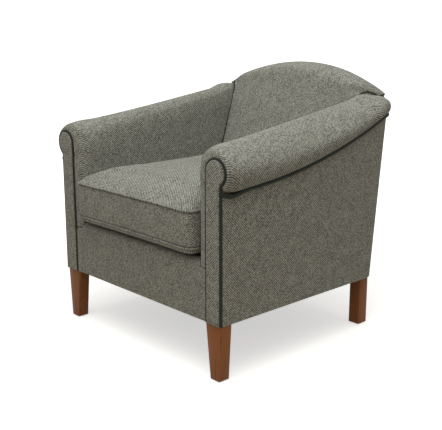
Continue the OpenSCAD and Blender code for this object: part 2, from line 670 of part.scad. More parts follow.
function rail_edge(drop) = concat(
    [[front_post_y + post_t, rail_top_h(0) - touch - drop]],
    [for (u = arm_y_shares) [u * arm_len, rail_top_h(u) - touch - drop]],
    [let (z = back_post_top - rail_end_drop - drop) [post_front_y(z), z]]);
rail_end_drop = 2;      // arm rail's top below the back post's
module arm_rail() drilled() across(core_x + touch, half_w - panel_t - touch) polygon(concat(
    rail_edge(0), [for (i = [len(arm_y_shares) + 1:-1:0]) rail_edge(arm_rail_t)[i]]));
front_post_left();
front_post_right();
back_post_left();
back_post_right();
side_seat_rail_left();
side_seat_rail_right();
arm_tack_rail_left();
arm_tack_rail_right();
arm_top_rail_left();
arm_top_rail_right();
module front_post_left() left() front_post();
module front_post_right() right() front_post();
module back_post_left() left() back_post();
module back_post_right() right() back_post();
module screwed_side_rail() difference() {
    side_rail();
    block_screws();
}
module side_seat_rail_left() left() screwed_side_rail();
module side_seat_rail_right() right() screwed_side_rail();
module arm_tack_rail_left() left() tack_rail();
module arm_tack_rail_right() right() tack_rail();
module arm_top_rail_left() left() arm_rail();
module arm_top_rail_right() right() arm_rail();

// Boards across the back, drilled at both ends
crest_rail_h = 163;     // from the top of the back down to the crest rail's underside
crest_low_h = crest_h - crest_rail_h;
tack_rise = 16;         // from the deck up to the back tack rail
tack_low_h = deck_h + tack_rise;
function board_mid_y(z) = rear_y(z) - panel_t - touch - crest_t / 2;
module cross_drilled() color("#c8a26b") difference() {
    children();
    dowels();
    mirror([1, 0, 0]) dowels();
}
module on_back(z0) translate([0, rear_y(z0) - panel_t - touch, z0]) rotate([90 - outer_lean, 0, 0])
    linear_extrude(crest_t) children();
crest_gap = 8;          // padding's clearance over the crest rail
module crest_outline() intersection() {
    translate([-core_x - touch, 0]) square([2 * (core_x + touch), crest_h - crest_low_h]);
    translate([0, crest_h - crest_r - crest_low_h]) circle(crest_r - crest_inset - crest_gap, $fn = 180);
}
crest_rail();
module crest_rail() place() cross_drilled() on_back(crest_low_h) crest_outline();
back_tack_rail();
module back_tack_rail() place() cross_drilled() on_back(tack_low_h)
    translate([-core_x - touch, 0]) square([2 * (core_x + touch), tack_h]);
front_seat_rail();
module front_seat_rail() place() cross_drilled() difference() {
    block([-front_post_x + post_w / 2, rail_y, rail_z],
        [front_post_x - post_w / 2, rail_y + rail_t, rail_top]);
    block_screws();
    mirror([1, 0, 0]) block_screws();
}
back_seat_rail();
module back_seat_rail() place() cross_drilled() difference() {
    block([-core_x - touch, back_rail_y, rail_z], [core_x + touch, back_rail_y + rail_t, rail_top]);
    block_screws();
    mirror([1, 0, 0]) block_screws();
}

// Corner blocks, glued and screwed inside the four seat corners
block_leg = 58;
block_h = 60;
block_z = rail_z + rail_h * 0.25;
screw_d = 5;
front_inner_y = rail_y + rail_t;
front_post_back = front_post_y + post_t;
module front_block() translate([0, 0, block_z]) linear_extrude(block_h) polygon([
    [front_post_x - post_w / 2 - block_leg, front_inner_y], [front_post_x - post_w / 2, front_inner_y],
    [front_post_x - post_w / 2, front_post_back], [side_rail_x, front_post_back],
    [side_rail_x, front_post_back + block_leg]]);
module back_block() translate([0, 0, block_z]) linear_extrude(block_h) polygon([
    [back_post_x - post_w / 2 - block_leg, back_rail_y], [back_post_x - post_w / 2, back_rail_y],
    [back_post_x - post_w / 2, post_front_y(block_z)], [side_rail_x, post_front_y(block_z)],
    [side_rail_x, post_front_y(block_z) - block_leg]]);
// Screws through each block into its two rails
screw_in = 14;          // a screw's start from the rail's inner face
module block_screws() for (z = [block_z + block_h * 0.3, block_z + block_h * 0.7]) {
    translate([front_post_x - post_w / 2 - block_leg * 0.5, front_inner_y + screw_in, z])
        rotate([90, 0, 0]) screw();
    translate([side_rail_x - screw_in, front_post_back + block_leg * 0.5, z])
        rotate([0, 90, 0]) screw();
    translate([back_post_x - post_w / 2 - block_leg * 0.5, back_rail_y - screw_in, z])
        rotate([-90, 0, 0]) screw();
    translate([side_rail_x - screw_in, post_front_y(block_z) - block_leg * 0.5, z])
        rotate([0, 90, 0]) screw();
}
module screw() cylinder(h = screw_in + rail_t * 0.7, d = screw_d);
corner_block_screws();
module corner_block_screws() color("#b8b04a") both() block_screws();
corner_blocks();
module corner_blocks() color("#c8a26b") both() difference() {
    union() {
        front_block();
        back_block();
    }
    block_screws();
}

// Zigzag springs from the front rail to the back rail, and the clips that hold their ends
spring_y0 = rail_y + rail_t / 2;
spring_y1 = back_rail_y + rail_t / 2;
spring_w = 38;          // straight width of a spring's loops
spring_pitch = (spring_y1 - spring_y0) / bends;
spring_spread = 2 * side_x / (springs + 0.2);
spring_z = rail_top + wire_r;
function spring_x(i) = (i - (springs - 1) / 2) * spring_spread;
bend_angles = [-90, -45, 0, 45, 90];
function bend_side(k) = k % 2 == 0 ? 1 : -1;
function spring_route() = concat(
    [[-spring_w / 2, spring_y0, spring_z]],
    [for (k = [0:bends - 1], a = bend_angles) [
        bend_side(k) * (spring_w + spring_pitch * cos(a)) / 2,
        spring_y0 + spring_pitch * (k + (1 + sin(a)) / 2),
        spring_z]],
    [[-bend_side(bends - 1) * spring_w / 2, spring_y1, spring_z]]);
module spring() rings(tube(spring_route(), wire_r, 6), false, true);
seat_springs();
module seat_springs() color("#8c8f93") place()
    for (i = [0:springs - 1]) translate([spring_x(i), 0, 0]) spring();
clip_w = 16;
spring_clips();
module spring_clips() color("#a9acb0") place()
    for (i = [0:springs - 1], y = [spring_y0, spring_y1]) translate([spring_x(i), y, rail_top]) clip();
module clip() difference() {
    translate([-clip_w / 2, -wire_r - clip_t, 0]) cube([clip_w, 2 * (wire_r + clip_t), wire_d + clip_t]);
    translate([-clip_w, -wire_r, -clip_t]) cube([2 * clip_w, wire_d, wire_r + clip_t]);
    translate([-clip_w, 0, wire_r]) rotate([0, 90, 0]) cylinder(h = 2 * clip_w, r = wire_r, $fn = 16);
}
web_shares = [0.12, 0.4, 0.68];      // heights between the tack rail and the crest rail
web_w_share = 0.195;    // width of a strap as a share of the height between the two rails
web_w = (crest_low_h - tack_low_h - tack_h) * web_w_share;
web_t = 1.5;
back_webbing();
module back_webbing() color("#4b4b4b") place()
    for (k = web_shares) let (z = lerp(tack_low_h + tack_h, crest_low_h, k)) lean(
        -core_x - touch, core_x + touch, panel_t + touch + crest_t - web_t, web_t, z, z + web_w);

// Loose cushion
cushion_front = -cushion_proud;
zip_depth = 4;          // room behind the cushion for the zip and its slider
cushion_back = seat_d - back_crown - 3 * touch - zip_depth;
cushion_half = inner_x - cushion_gap - welt_d * 2 / 3;
cushion_deep = (cushion_back - cushion_front) / 2 - welt_d * 2 / 3;
cushion_mid_y = (cushion_back + cushion_front) / 2;
seam_low = deck_h + touch + cushion_belly;
seam_high = seam_low + boxing_h;
welt_out = welt_d / 6;
corner_steps = 5;
side_shares = [0.2, 0.4, 0.6, 0.8];
crown_shares = [0.3, 0.6, 0.82, 0.94, 1];
crown_power = 4;        // the higher, the flatter the top panel's middle
belly_power = 8;
boxing_bulge = 1;
// Plan of the cushion grown by g: four round corners, sides drawn in between them, and a
// straight rear side for the zip
function corner_at(q) = [[1, 1], [-1, 1], [-1, -1], [1, -1]][q % 4];
function corner_pt(q, a, g) = let (c = corner_at(q))
    [c.x * (cushion_half - cushion_corner_r), c.y * (cushion_deep - cushion_corner_r)]
    + (cushion_corner_r + g) * [cos(a), sin(a)];
function plan(g) = [for (q = [0:3]) each concat(
    [for (i = [0:corner_steps]) corner_pt(q, 90 * (q + i / corner_steps), g)],
    [for (t = side_shares) let (a = 90 * (q + 1), draw = q == 0 ? 0 : cushion_draw_in)
        lerp(corner_pt(q, a, g), corner_pt(q + 1, a, g), t)
        - draw * (1 - pow(2 * t - 1, 2)) * [cos(a), sin(a)]])];
function ring(g, share, z) = [for (p = plan(g)) [p.x * share, cushion_mid_y + p.y * share, z]];
function rise(share, power) = sqrt(max(0, 1 - pow(share, power)));
function top_ring(g, share, t) =
    ring(g, share, seam_high + max(welt_r, cushion_crown * rise(share, crown_power) - t));
function low_ring(g, share, t) =
    ring(g, share, seam_low - max(welt_r, cushion_belly * rise(share, belly_power) - t));
function backwards(v) = [for (i = [len(v) - 1:-1:0]) v[i]];
cushion_top_panel();
module cushion_top_panel() color("#97988e") place() rings(concat(
    [for (k = crown_shares) top_ring(-cloth_t, k, cloth_t)],
    [for (k = backwards(crown_shares)) top_ring(0, k, 0)]));
cushion_bottom_panel();
module cushion_bottom_panel() color("#6f6d64") place() rings(concat(
    [for (k = crown_shares) low_ring(0, k, 0)],
    [for (k = backwards(crown_shares)) low_ring(-cloth_t, k, cloth_t)]));
cushion_boxing();
boxing_shares = [0, 0.5, 1];
module cushion_boxing() color("#7a776c") place() rings(concat(
    [for (k = boxing_shares) boxing_ring(k, 0)],
    [for (k = backwards(boxing_shares)) boxing_ring(k, cloth_t)]), true);
function boxing_ring(k, t) = ring(boxing_bulge * 4 * k * (1 - k) - t, 1,
    lerp(seam_low + welt_r, seam_high - welt_r, k));
cushion_core();
module cushion_core() color("#e3d6ae") place() rings(concat(
    [for (k = crown_shares) low_ring(-cloth_t - touch, k, cloth_t + touch)],
    [for (k = boxing_shares) boxing_ring(k, cloth_t + touch)],
    [for (k = backwards(crown_shares)) top_ring(-cloth_t - touch, k, cloth_t + touch)]));
module welt(z) color("#85857b") place() rings(tube(ring(welt_out, 1, z), welt_r, 6, true), true, true);
cushion_piping_top();
cushion_piping_bottom();
module cushion_piping_top() welt(seam_high);
module cushion_piping_bottom() welt(seam_low);
zip_share = 0.722;      // length of the zip as a share of the cushion's width
zip_half = cushion_half * zip_share;
zip_h = 24;
zip_t = 1;
zip_y = cushion_mid_y + cushion_deep + boxing_bulge;
zip_z = (seam_low + seam_high) / 2;
slider_l = 14;
slider_h = 9;
slider_t = 2;
cushion_zip();
module cushion_zip() color("#3c3c38") place()
    block([-zip_half, zip_y, zip_z - zip_h / 2], [zip_half, zip_y + zip_t, zip_z + zip_h / 2]);
cushion_zip_slider();
module cushion_zip_slider() color("#b0b2b4") place()
    block([-zip_half + touch, zip_y + zip_t + touch, zip_z - slider_h / 2],
        [-zip_half + slider_l, zip_y + zip_t + touch + slider_t, zip_z + slider_h / 2]);
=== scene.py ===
"""Tub chair: the detailed visual model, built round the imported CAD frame.

Sizes are in millimetres in the drawing's own frame, whose y = 0 is the front of the arm
facings, and become metres in the row frame when a mesh is made. Right and left are as
seen from the front; right-hand pieces are drawn and left-hand ones mirrored.
"""

import logging
import math
from dataclasses import dataclass
from enum import Enum
from typing import Any, Callable, Optional, Sequence, Union

import bpy
import numpy as np
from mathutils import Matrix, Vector, noise


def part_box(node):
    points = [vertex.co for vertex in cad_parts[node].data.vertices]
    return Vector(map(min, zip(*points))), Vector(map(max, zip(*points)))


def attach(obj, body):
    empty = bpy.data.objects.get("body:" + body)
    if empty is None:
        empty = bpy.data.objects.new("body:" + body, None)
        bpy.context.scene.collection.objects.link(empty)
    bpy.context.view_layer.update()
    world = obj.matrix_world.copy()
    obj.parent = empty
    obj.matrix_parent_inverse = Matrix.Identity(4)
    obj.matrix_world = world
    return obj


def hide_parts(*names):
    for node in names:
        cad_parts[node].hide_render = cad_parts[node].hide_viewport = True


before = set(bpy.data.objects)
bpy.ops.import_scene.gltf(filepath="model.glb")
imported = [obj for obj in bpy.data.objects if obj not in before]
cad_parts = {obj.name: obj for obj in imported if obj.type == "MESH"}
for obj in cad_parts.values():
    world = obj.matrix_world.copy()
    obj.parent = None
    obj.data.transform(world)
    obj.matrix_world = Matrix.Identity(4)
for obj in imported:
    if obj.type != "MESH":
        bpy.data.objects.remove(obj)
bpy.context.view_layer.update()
LOG = logging.getLogger("tub_chair")
MM = 0.001
UV_NAME = "weave"
Point = Sequence[float]


# ---------------------------------------------------------------- shader graphs
class Value:
    """A float socket in a shader graph, on which operators add Math nodes."""

    def __init__(self, graph: "Graph", socket: bpy.types.NodeSocket) -> None:
        """Wraps an output socket of a graph's node."""
        self.graph = graph
        self.socket = socket

    def _math(self, operation: str, *values: Union["Value", float]) -> "Value":
        """Adds a Math node with the given operands, in order."""
        return self.graph.node("ShaderNodeMath", {"operation": operation},
                               {i: v for i, v in enumerate(values)})

    def __add__(self, other: Union["Value", float]) -> "Value":
        """Sum."""
        return self._math("ADD", self, other)

    __radd__ = __add__

    def __sub__(self, other: Union["Value", float]) -> "Value":
        """Difference."""
        return self._math("SUBTRACT", self, other)

    def __rsub__(self, other: float) -> "Value":
        """Reflected difference."""
        return self._math("SUBTRACT", other, self)

    def __mul__(self, other: Union["Value", float]) -> "Value":
        """Product."""
        return self._math("MULTIPLY", self, other)

    __rmul__ = __mul__

    def __truediv__(self, other: Union["Value", float]) -> "Value":
        """Quotient."""
        return self._math("DIVIDE", self, other)

    def __mod__(self, other: float) -> "Value":
        """Remainder that is never negative."""
        return self._math("FLOORED_MODULO", self, other)

    def __pow__(self, other: float) -> "Value":
        """Power."""
        return self._math("POWER", self, other)

    def less(self, other: Union["Value", float]) -> "Value":
        """1 where this is less than the other, else 0."""
        return self._math("LESS_THAN", self, other)

    def least(self, other: Union["Value", float]) -> "Value":
        """The smaller of the two."""
        return self._math("MINIMUM", self, other)

    def most(self, other: Union["Value", float]) -> "Value":
        """The larger of the two."""
        return self._math("MAXIMUM", self, other)

    def floor(self) -> "Value":
        """Next whole number down."""
        return self._math("FLOOR", self)

    def sine(self) -> "Value":
        """Sine of an angle in radians."""
        return self._math("SINE", self)

    def size(self) -> "Value":
        """Absolute value."""
        return self._math("ABSOLUTE", self)


Input = Union[Value, float, Point, bpy.types.NodeSocket]


class Graph:
    """A node tree that is being filled."""

    def __init__(self, tree: bpy.types.NodeTree) -> None:
        """Takes a node tree and empties it."""
        self.tree = tree
        tree.nodes.clear()

    def node(self, kind: str, settings: Optional[dict[str, Any]] = None,
             inputs: Optional[dict[Union[str, int], Input]] = None,
             output: Union[str, int] = 0) -> Value:
        """Adds a node.

        Args:
            kind: the node's type.
            settings: properties that are set first; "stops" fills a colour ramp.
            inputs: socket name or number, and its value or link.
            output: the output that is wanted.

        Returns:
            The output, wrapped.
        """
        made = self.tree.nodes.new(kind)
        for name, value in (settings or {}).items():
            if name == "stops":
                ramp = made.color_ramp.elements
                while len(ramp) < len(value):
                    ramp.new(0.5)
                for element, (place, colour) in zip(ramp, value):
                    element.position, element.color = place, (*colour, 1.0)
            else:
                setattr(made, name, value)
        for name, value in (inputs or {}).items():
            socket = made.inputs[name]
            if isinstance(value, Value):
                self.tree.links.new(value.socket, socket)
            elif isinstance(value, (tuple, list)) and len(value) == 3 and socket.type == "RGBA":
                socket.default_value = (*value, 1.0)
            else:
                socket.default_value = value
        return Value(self, made.outputs[output]) if len(made.outputs) else None

    def mix(self, share: Union[Value, float], low: Input, high: Input) -> Value:
        """Mixes two colours by a share from 0 to 1."""
        return self.node("ShaderNodeMix", {"data_type": "RGBA"}, {0: share, 6: low, 7: high}, 2)

    def noise(self, scale: float, where: Value, detail: float = 2.0) -> Value:
        """Smooth noise from 0 to 1, about 0.5."""
        return self.node("ShaderNodeTexNoise", {}, {"Vector": where, "Scale": scale, "Detail": detail})

    def stretched(self, where: Value, scale: Point) -> Value:
        """Coordinates stretched by a Mapping node."""
        return self.node("ShaderNodeMapping", {}, {"Vector": where, "Scale": scale})

    def object_place(self) -> Value:
        """Object coordinates, in metres."""
        return self.node("ShaderNodeTexCoord", {}, {}, "Object")

    def split(self, where: Value) -> tuple[Value, Value, Value]:
        """The three parts of a vector."""
        made = self.node("ShaderNodeSeparateXYZ", {}, {0: where}).socket.node
        return tuple(Value(self, made.outputs[i]) for i in range(3))

    def join(self, x: Input, y: Input, z: Input) -> Value:
        """A vector from its three parts."""
        return self.node("ShaderNodeCombineXYZ", {}, {0: x, 1: y, 2: z})

    def surface(self, colour: Input, rough: Input, height: Optional[Value] = None,
                depth: float = 0.0005, **fixed: float) -> None:
        """Ends the graph in one Principled surface.

        Args:
            colour: base colour.
            rough: roughness.
            height: bump height from 0 to 1.
            depth: what a height of 1 stands for, in metres.
            fixed: other sockets' values, with _ for a space.
        """
        inputs: dict[Union[str, int], Input] = {"Base Color": colour, "Roughness": rough}
        for name, value in fixed.items():
            inputs[name.replace("_", " ")] = value
        if height is not None:
            inputs["Normal"] = self.node("ShaderNodeBump", {}, {"Distance": depth, "Height": height})
        shader = self.node("ShaderNodeBsdfPrincipled", {}, inputs)
        self.node("ShaderNodeOutputMaterial", {}, {"Surface": shader})


# ---------------------------------------------------------------- finishes
class Slot(Enum):
    """The record's material slots."""

    TWEED = "tweed"
    PIPING = "contrast_piping"
    DECK = "deck_cloth"
    DUST = "dust_cloth"
    HESSIAN = "hessian"
    WEBBING = "webbing"
    FELT = "felt"
    ZIP_TAPE = "zip_tape"
    LEG_WOOD = "leg_wood"
    FRAME_WOOD = "frame_wood"
    STEEL = "steel"
    ZIP_METAL = "zip_metal"


@dataclass(frozen=True)
class Finish:
    """A surface finish with a name, a slot and a way to fill its graph."""

    name: str
    slot: Slot

    def fill(self, graph: Graph) -> None:
        """Adds the nodes of the finish."""
        raise NotImplementedError

    def material(self) -> bpy.types.Material:
        """The finish as a Blender material, made once."""
        found = bpy.data.materials.get(self.name)
        if found is None:
            found = bpy.data.materials.new(self.name)
            found.use_nodes = True
            self.fill(Graph(found.node_tree))
        return found


class Run(Enum):
    """Which way the ribs of the twill run on a piece's weave coordinates."""

    FALLING = 1
    RISING = 2
    ACROSS = 3


@dataclass(frozen=True)
class Tweed(Finish):
    """Fine twill of pale threads over dark ones, read from a UV map in metres."""

    light: Point = (0.46, 0.463, 0.405)
    mid: Point = (0.205, 0.203, 0.175)
    dark: Point = (0.04, 0.039, 0.032)
    pitch: float = 0.0017
    run: Run = Run.FALLING
    depth: float = 0.0006

    def fill(self, graph: Graph) -> None:
        """A two-over-two twill with slubs and flecks, or one whose ribs lie across."""
        place = graph.node("ShaderNodeUVMap", {"uv_map": UV_NAME}, {})
        wobble = graph.noise(110.0, place, 1.0) - 0.5
        u, v, _ = graph.split(place)
        warp = u / self.pitch + wobble * 0.6
        weft = v / self.pitch + wobble * 0.6
        across, up = warp.floor(), weft.floor()
        if self.run is Run.ACROSS:
            lay = up * 2.0 + (across % 2.0)
        else:
            lay = across + up if self.run is Run.FALLING else across - up
        over = (lay % 4.0).less(2.0)
        warp_round = 1.0 - (((warp - across) * 2.0 - 1.0) ** 2.0)
        weft_round = 1.0 - (((weft - up) * 2.0 - 1.0) ** 2.0)
        height = over * (0.45 + warp_round * 0.55) + (1.0 - over) * weft_round * 0.55
        yarn = graph.node("ShaderNodeTexWhiteNoise", {"noise_dimensions": "2D"},
                          {"Vector": graph.join(across, up, 0.0)})
        slub = graph.noise(1.0, graph.stretched(place, (130.0, 420.0, 1.0)), 3.0)
        patch = graph.noise(28.0, place, 2.0)
        fleck = graph.node("ShaderNodeTexWhiteNoise", {"noise_dimensions": "2D"},
                           {"Vector": graph.join((across / 2.0).floor(), (up / 2.0).floor(), 0.0)})
        tone = (0.47 + (over - 0.5) * 0.62 + (yarn - 0.5) * 0.55 + (fleck - 0.5) * 0.5
                + (slub - 0.5) * 1.5 + (patch - 0.5) * 0.35)
        colour = graph.node("ShaderNodeValToRGB", {"stops": [
            (0.0, self.dark), (0.45, self.mid), (0.95, self.light)]}, {0: tone})
        rough = 0.86 + slub * 0.12
        graph.surface(colour, rough, height * 0.75 + slub * 0.4, self.depth,
                      Sheen_Weight=0.12, Sheen_Roughness=0.6, Specular_IOR_Level=0.25)


@dataclass(frozen=True)
class CordCloth(Finish):
    """Bias-cut cloth round a cord: fine slanting ribs, nearly black."""

    dark: Point = (0.004, 0.006, 0.004)
    light: Point = (0.03, 0.038, 0.03)
    rib: float = 0.0016

    def fill(self, graph: Graph) -> None:
        """Slanting ribs that fade in and out along the cord."""
        place = graph.node("ShaderNodeUVMap", {"uv_map": UV_NAME}, {})
        u, v, _ = graph.split(place)
        ribs = ((u + v) * (2.0 * math.pi / self.rib)).sine() * 0.5 + 0.5
        fibre = graph.noise(600.0, place, 3.0)
        patch = graph.noise(40.0, place, 2.0)
        colour = graph.mix(ribs * 0.45 + fibre * 0.35 + (patch - 0.5) * 0.6, self.dark, self.light)
        graph.surface(colour, 0.62 + fibre * 0.2, ribs * 0.7 + fibre * 0.4, 0.0004,
                      Sheen_Weight=0.05, Specular_IOR_Level=0.2)


@dataclass(frozen=True)
class Wood(Finish):
    """Straight-grained wood, grain along one of the object's axes."""

    pale: Point
    deep: Point
    grain: Point
    gloss: float
    coat: float = 0.0

    def fill(self, graph: Graph) -> None:
        """Broad growth bands, fine fibres and short dark pores."""
        place = graph.object_place()
        bands = graph.noise(1.0, graph.stretched(place, tuple(7.0 * g for g in self.grain)), 3.0)
        fibre = graph.noise(1.0, graph.stretched(place, tuple(60.0 * g for g in self.grain)), 4.0)
        pores = graph.noise(1.0, graph.stretched(place, tuple(170.0 * g for g in self.grain)), 1.0)
        tone = (bands - 0.5) * 1.5 + (fibre - 0.5) * 0.9 + 0.5
        body = graph.mix(tone.least(1.0).most(0.0), self.deep, self.pale)
        pore = (pores.less(0.36)) * 0.45
        colour = graph.mix(pore, body, tuple(c * 0.45 for c in self.deep))
        graph.surface(colour, self.gloss + (fibre - 0.5) * 0.25 + pore * 0.2, fibre * 0.6 - pore,
                      0.0002, Coat_Weight=self.coat, Coat_Roughness=0.25, Specular_IOR_Level=0.15)


@dataclass(frozen=True)
class Metal(Finish):
    """Drawn or pressed metal with fine scratches and dull patches."""

    colour: Point
    gloss: float

    def fill(self, graph: Graph) -> None:
        """Scratches in a fine noise, patches in a broad one."""
        place = graph.object_place()
        fine = graph.noise(1.0, graph.stretched(place, (900.0, 900.0, 200.0)), 2.0)
        patch = graph.noise(60.0, place, 3.0)
        colour = graph.mix(patch, tuple(c * 0.7 for c in self.colour), self.colour)
        graph.surface(colour, self.gloss + patch * 0.25, fine, 0.00005, Metallic=1.0)


@dataclass(frozen=True)
class PlainCloth(Finish):
    """A plain weave on object coordinates, with threads along two of its axes."""

    light: Point
    dark: Point
    pitch: float
    axes: tuple[int, int] = (0, 1)
    open_share: float = 0.0
    depth: float = 0.0004

    def fill(self, graph: Graph) -> None:
        """Over-and-under threads, with dark holes where the weave is open."""
        place = graph.object_place()
        parts = graph.split(place)
        a = parts[self.axes[0]] * (math.pi / self.pitch)
        b = parts[self.axes[1]] * (math.pi / self.pitch)
        ridge_a, ridge_b = a.sine().size(), b.sine().size()
        fibre = graph.noise(500.0, place, 3.0)
        patch = graph.noise(14.0, place, 3.0)
        weave = ridge_a.most(ridge_b)
        tone = weave * 0.6 + (fibre - 0.5) * 0.7 + (patch - 0.5) * 0.5
        colour = graph.mix(tone.least(1.0).most(0.0), self.dark, self.light)
        if self.open_share:
            hole = (ridge_a.less(self.open_share)) * (ridge_b.less(self.open_share))
            colour = graph.mix(hole * 0.8, colour, tuple(c * 0.2 for c in self.dark))
        graph.surface(colour, 0.88 + fibre * 0.1, ridge_a * ridge_b + fibre * 0.3, self.depth,
                      Specular_IOR_Level=0.2)


@dataclass(frozen=True)
class Fleece(Finish):
    """Felt, wadding or foam: fibres with no weave."""

    light: Point
    dark: Point
    grain: float

    def fill(self, graph: Graph) -> None:
        """Two sizes of noise for fibres and lumps."""
        place = graph.object_place()
        fibre = graph.noise(self.grain, place, 5.0)
        lump = graph.noise(self.grain / 8.0, place, 2.0)
        colour = graph.mix(fibre * 0.7 + lump * 0.3, self.dark, self.light)
        graph.surface(colour, 0.95, fibre + lump, 0.0008, Specular_IOR_Level=0.15)


TWEED = Tweed("tweed_cloth_falling", Slot.TWEED)
TWEED_RISING = Tweed("tweed_cloth_rising", Slot.TWEED, run=Run.RISING)
TWEED_FLAT = Tweed("tweed_cloth_across", Slot.TWEED, run=Run.ACROSS)
WELT_CLOTH = Tweed("tweed_self_piping", Slot.TWEED, pitch=0.0016, light=(0.4, 0.405, 0.36))
CORD_CLOTH = CordCloth("contrast_piping_cloth", Slot.PIPING)
# Near-black cord cloth for thin cords that stand in for shade: painted shadow lines in the crease between
# the back and each arm, and beside the cushion's welts.
SEAM_SHADE_CORD = CordCloth("painted_seam_shade", Slot.PIPING, light=(0.03, 0.03, 0.025), rib=0.0008)
LEG_WOOD = Wood("leg_wood_satin", Slot.LEG_WOOD, (0.29, 0.1, 0.024), (0.155, 0.052, 0.013),
                (1.0, 1.0, 0.06), 0.45, 0.03)
UPRIGHT_WOOD = Wood("frame_wood_upright", Slot.FRAME_WOOD, (0.62, 0.42, 0.23),
                    (0.42, 0.26, 0.13), (1.0, 1.0, 0.06), 0.62)
CROSS_WOOD = Wood("frame_wood_across", Slot.FRAME_WOOD, (0.62, 0.42, 0.23),
                  (0.42, 0.26, 0.13), (0.06, 1.0, 1.0), 0.62)
LONG_WOOD = Wood("frame_wood_lengthways", Slot.FRAME_WOOD, (0.62, 0.42, 0.23),
                 (0.42, 0.26, 0.13), (1.0, 0.06, 1.0), 0.62)
STEEL = Metal("spring_steel", Slot.STEEL, (0.42, 0.43, 0.45), 0.3)
BRASS = Metal("zinc_screws", Slot.STEEL, (0.55, 0.5, 0.32), 0.35)
ZIP_METAL = Metal("zip_nickel", Slot.ZIP_METAL, (0.55, 0.55, 0.56), 0.22)
HESSIAN = PlainCloth("hessian_jute", Slot.HESSIAN, (0.44, 0.31, 0.15), (0.2, 0.13, 0.06), 0.0022,
                     open_share=0.35)
WEBBING = PlainCloth("webbing_cotton", Slot.WEBBING, (0.1, 0.1, 0.11), (0.02, 0.02, 0.022), 0.0016,
                     (0, 2))
DUST = PlainCloth("dust_cloth_black", Slot.DUST, (0.03, 0.03, 0.032), (0.008, 0.008, 0.009), 0.0011)
DECK = PlainCloth("deck_cloth_grey", Slot.DECK, (0.19, 0.185, 0.165), (0.08, 0.078, 0.07), 0.0012)
TAPE = PlainCloth("zip_tape_cloth", Slot.ZIP_TAPE, (0.075, 0.075, 0.068), (0.02, 0.02, 0.018),
                  0.0009, (0, 2))
FELT = Fleece("glide_felt", Slot.FELT, (0.07, 0.065, 0.06), (0.02, 0.02, 0.02), 900.0)


# ---------------------------------------------------------------- mesh tools
def smooth(t: float) -> float:
    """Smooth step from 0 to 1."""
    t = min(1.0, max(0.0, t))
    return t * t * (3.0 - 2.0 * t)


def lerp(a: Any, b: Any, t: float) -> Any:
    """Straight mix of a and b."""
    return a + (b - a) * t


def refine(points: np.ndarray, axis: int, steps: int) -> np.ndarray:
    """Adds points on a smooth curve through the given ones.

    Args:
        points: an array of points, the last axis holding x, y and z.
        axis: the axis along which the curves run.
        steps: parts that each gap is divided into.

    Returns:
        The finer array, with every given point kept.
    """
    p = np.moveaxis(points, axis, 0)
    gap = np.diff(p, axis=0)
    length = np.linalg.norm(gap, axis=-1, keepdims=True) + 1e-6
    slope = gap / length
    inner = (slope[:-1] * length[1:] + slope[1:] * length[:-1]) / (length[1:] + length[:-1])
    tangent = np.concatenate([slope[:1], inner, slope[-1:]])
    made = []
    for k in range(len(p) - 1):
        for i in range(steps):
            t = i / steps
            made.append((2 * t**3 - 3 * t**2 + 1) * p[k] + (t**3 - 2 * t**2 + t) * length[k] * tangent[k]
                        + (3 * t**2 - 2 * t**3) * p[k + 1]
                        + (t**3 - t**2) * length[k] * tangent[k + 1])
    made.append(p[-1])
    return np.moveaxis(np.array(made), 0, axis)


def dense(rows: Any, down: int, across: Optional[int] = None) -> np.ndarray:
    """A grid of points made finer both ways, by the same number unless two are given."""
    return refine(refine(np.array(rows), 0, down), 1, across or down)


def spaced(line: np.ndarray, gap: float = 0.5) -> np.ndarray:
    """A line without the points that lie closer than a gap to the one before."""
    far = np.linalg.norm(np.diff(line, axis=0), axis=1) > gap
    return line[np.concatenate([[True], far])]


def to_row(points: np.ndarray, mid_y: float) -> np.ndarray:
    """Drawing millimetres to row-frame metres."""
    return (np.asarray(points, float).reshape(-1, 3) - [0.0, mid_y, 0.0]) * MM


def arc(points: np.ndarray, axis: int) -> np.ndarray:
    """Distance along each curve of a grid, from its first point, in millimetres."""
    step = np.linalg.norm(np.diff(points, axis=axis), axis=-1)
    start = np.zeros_like(np.take(step, [0], axis=axis))
    return np.concatenate([start, np.cumsum(step, axis=axis)], axis=axis)


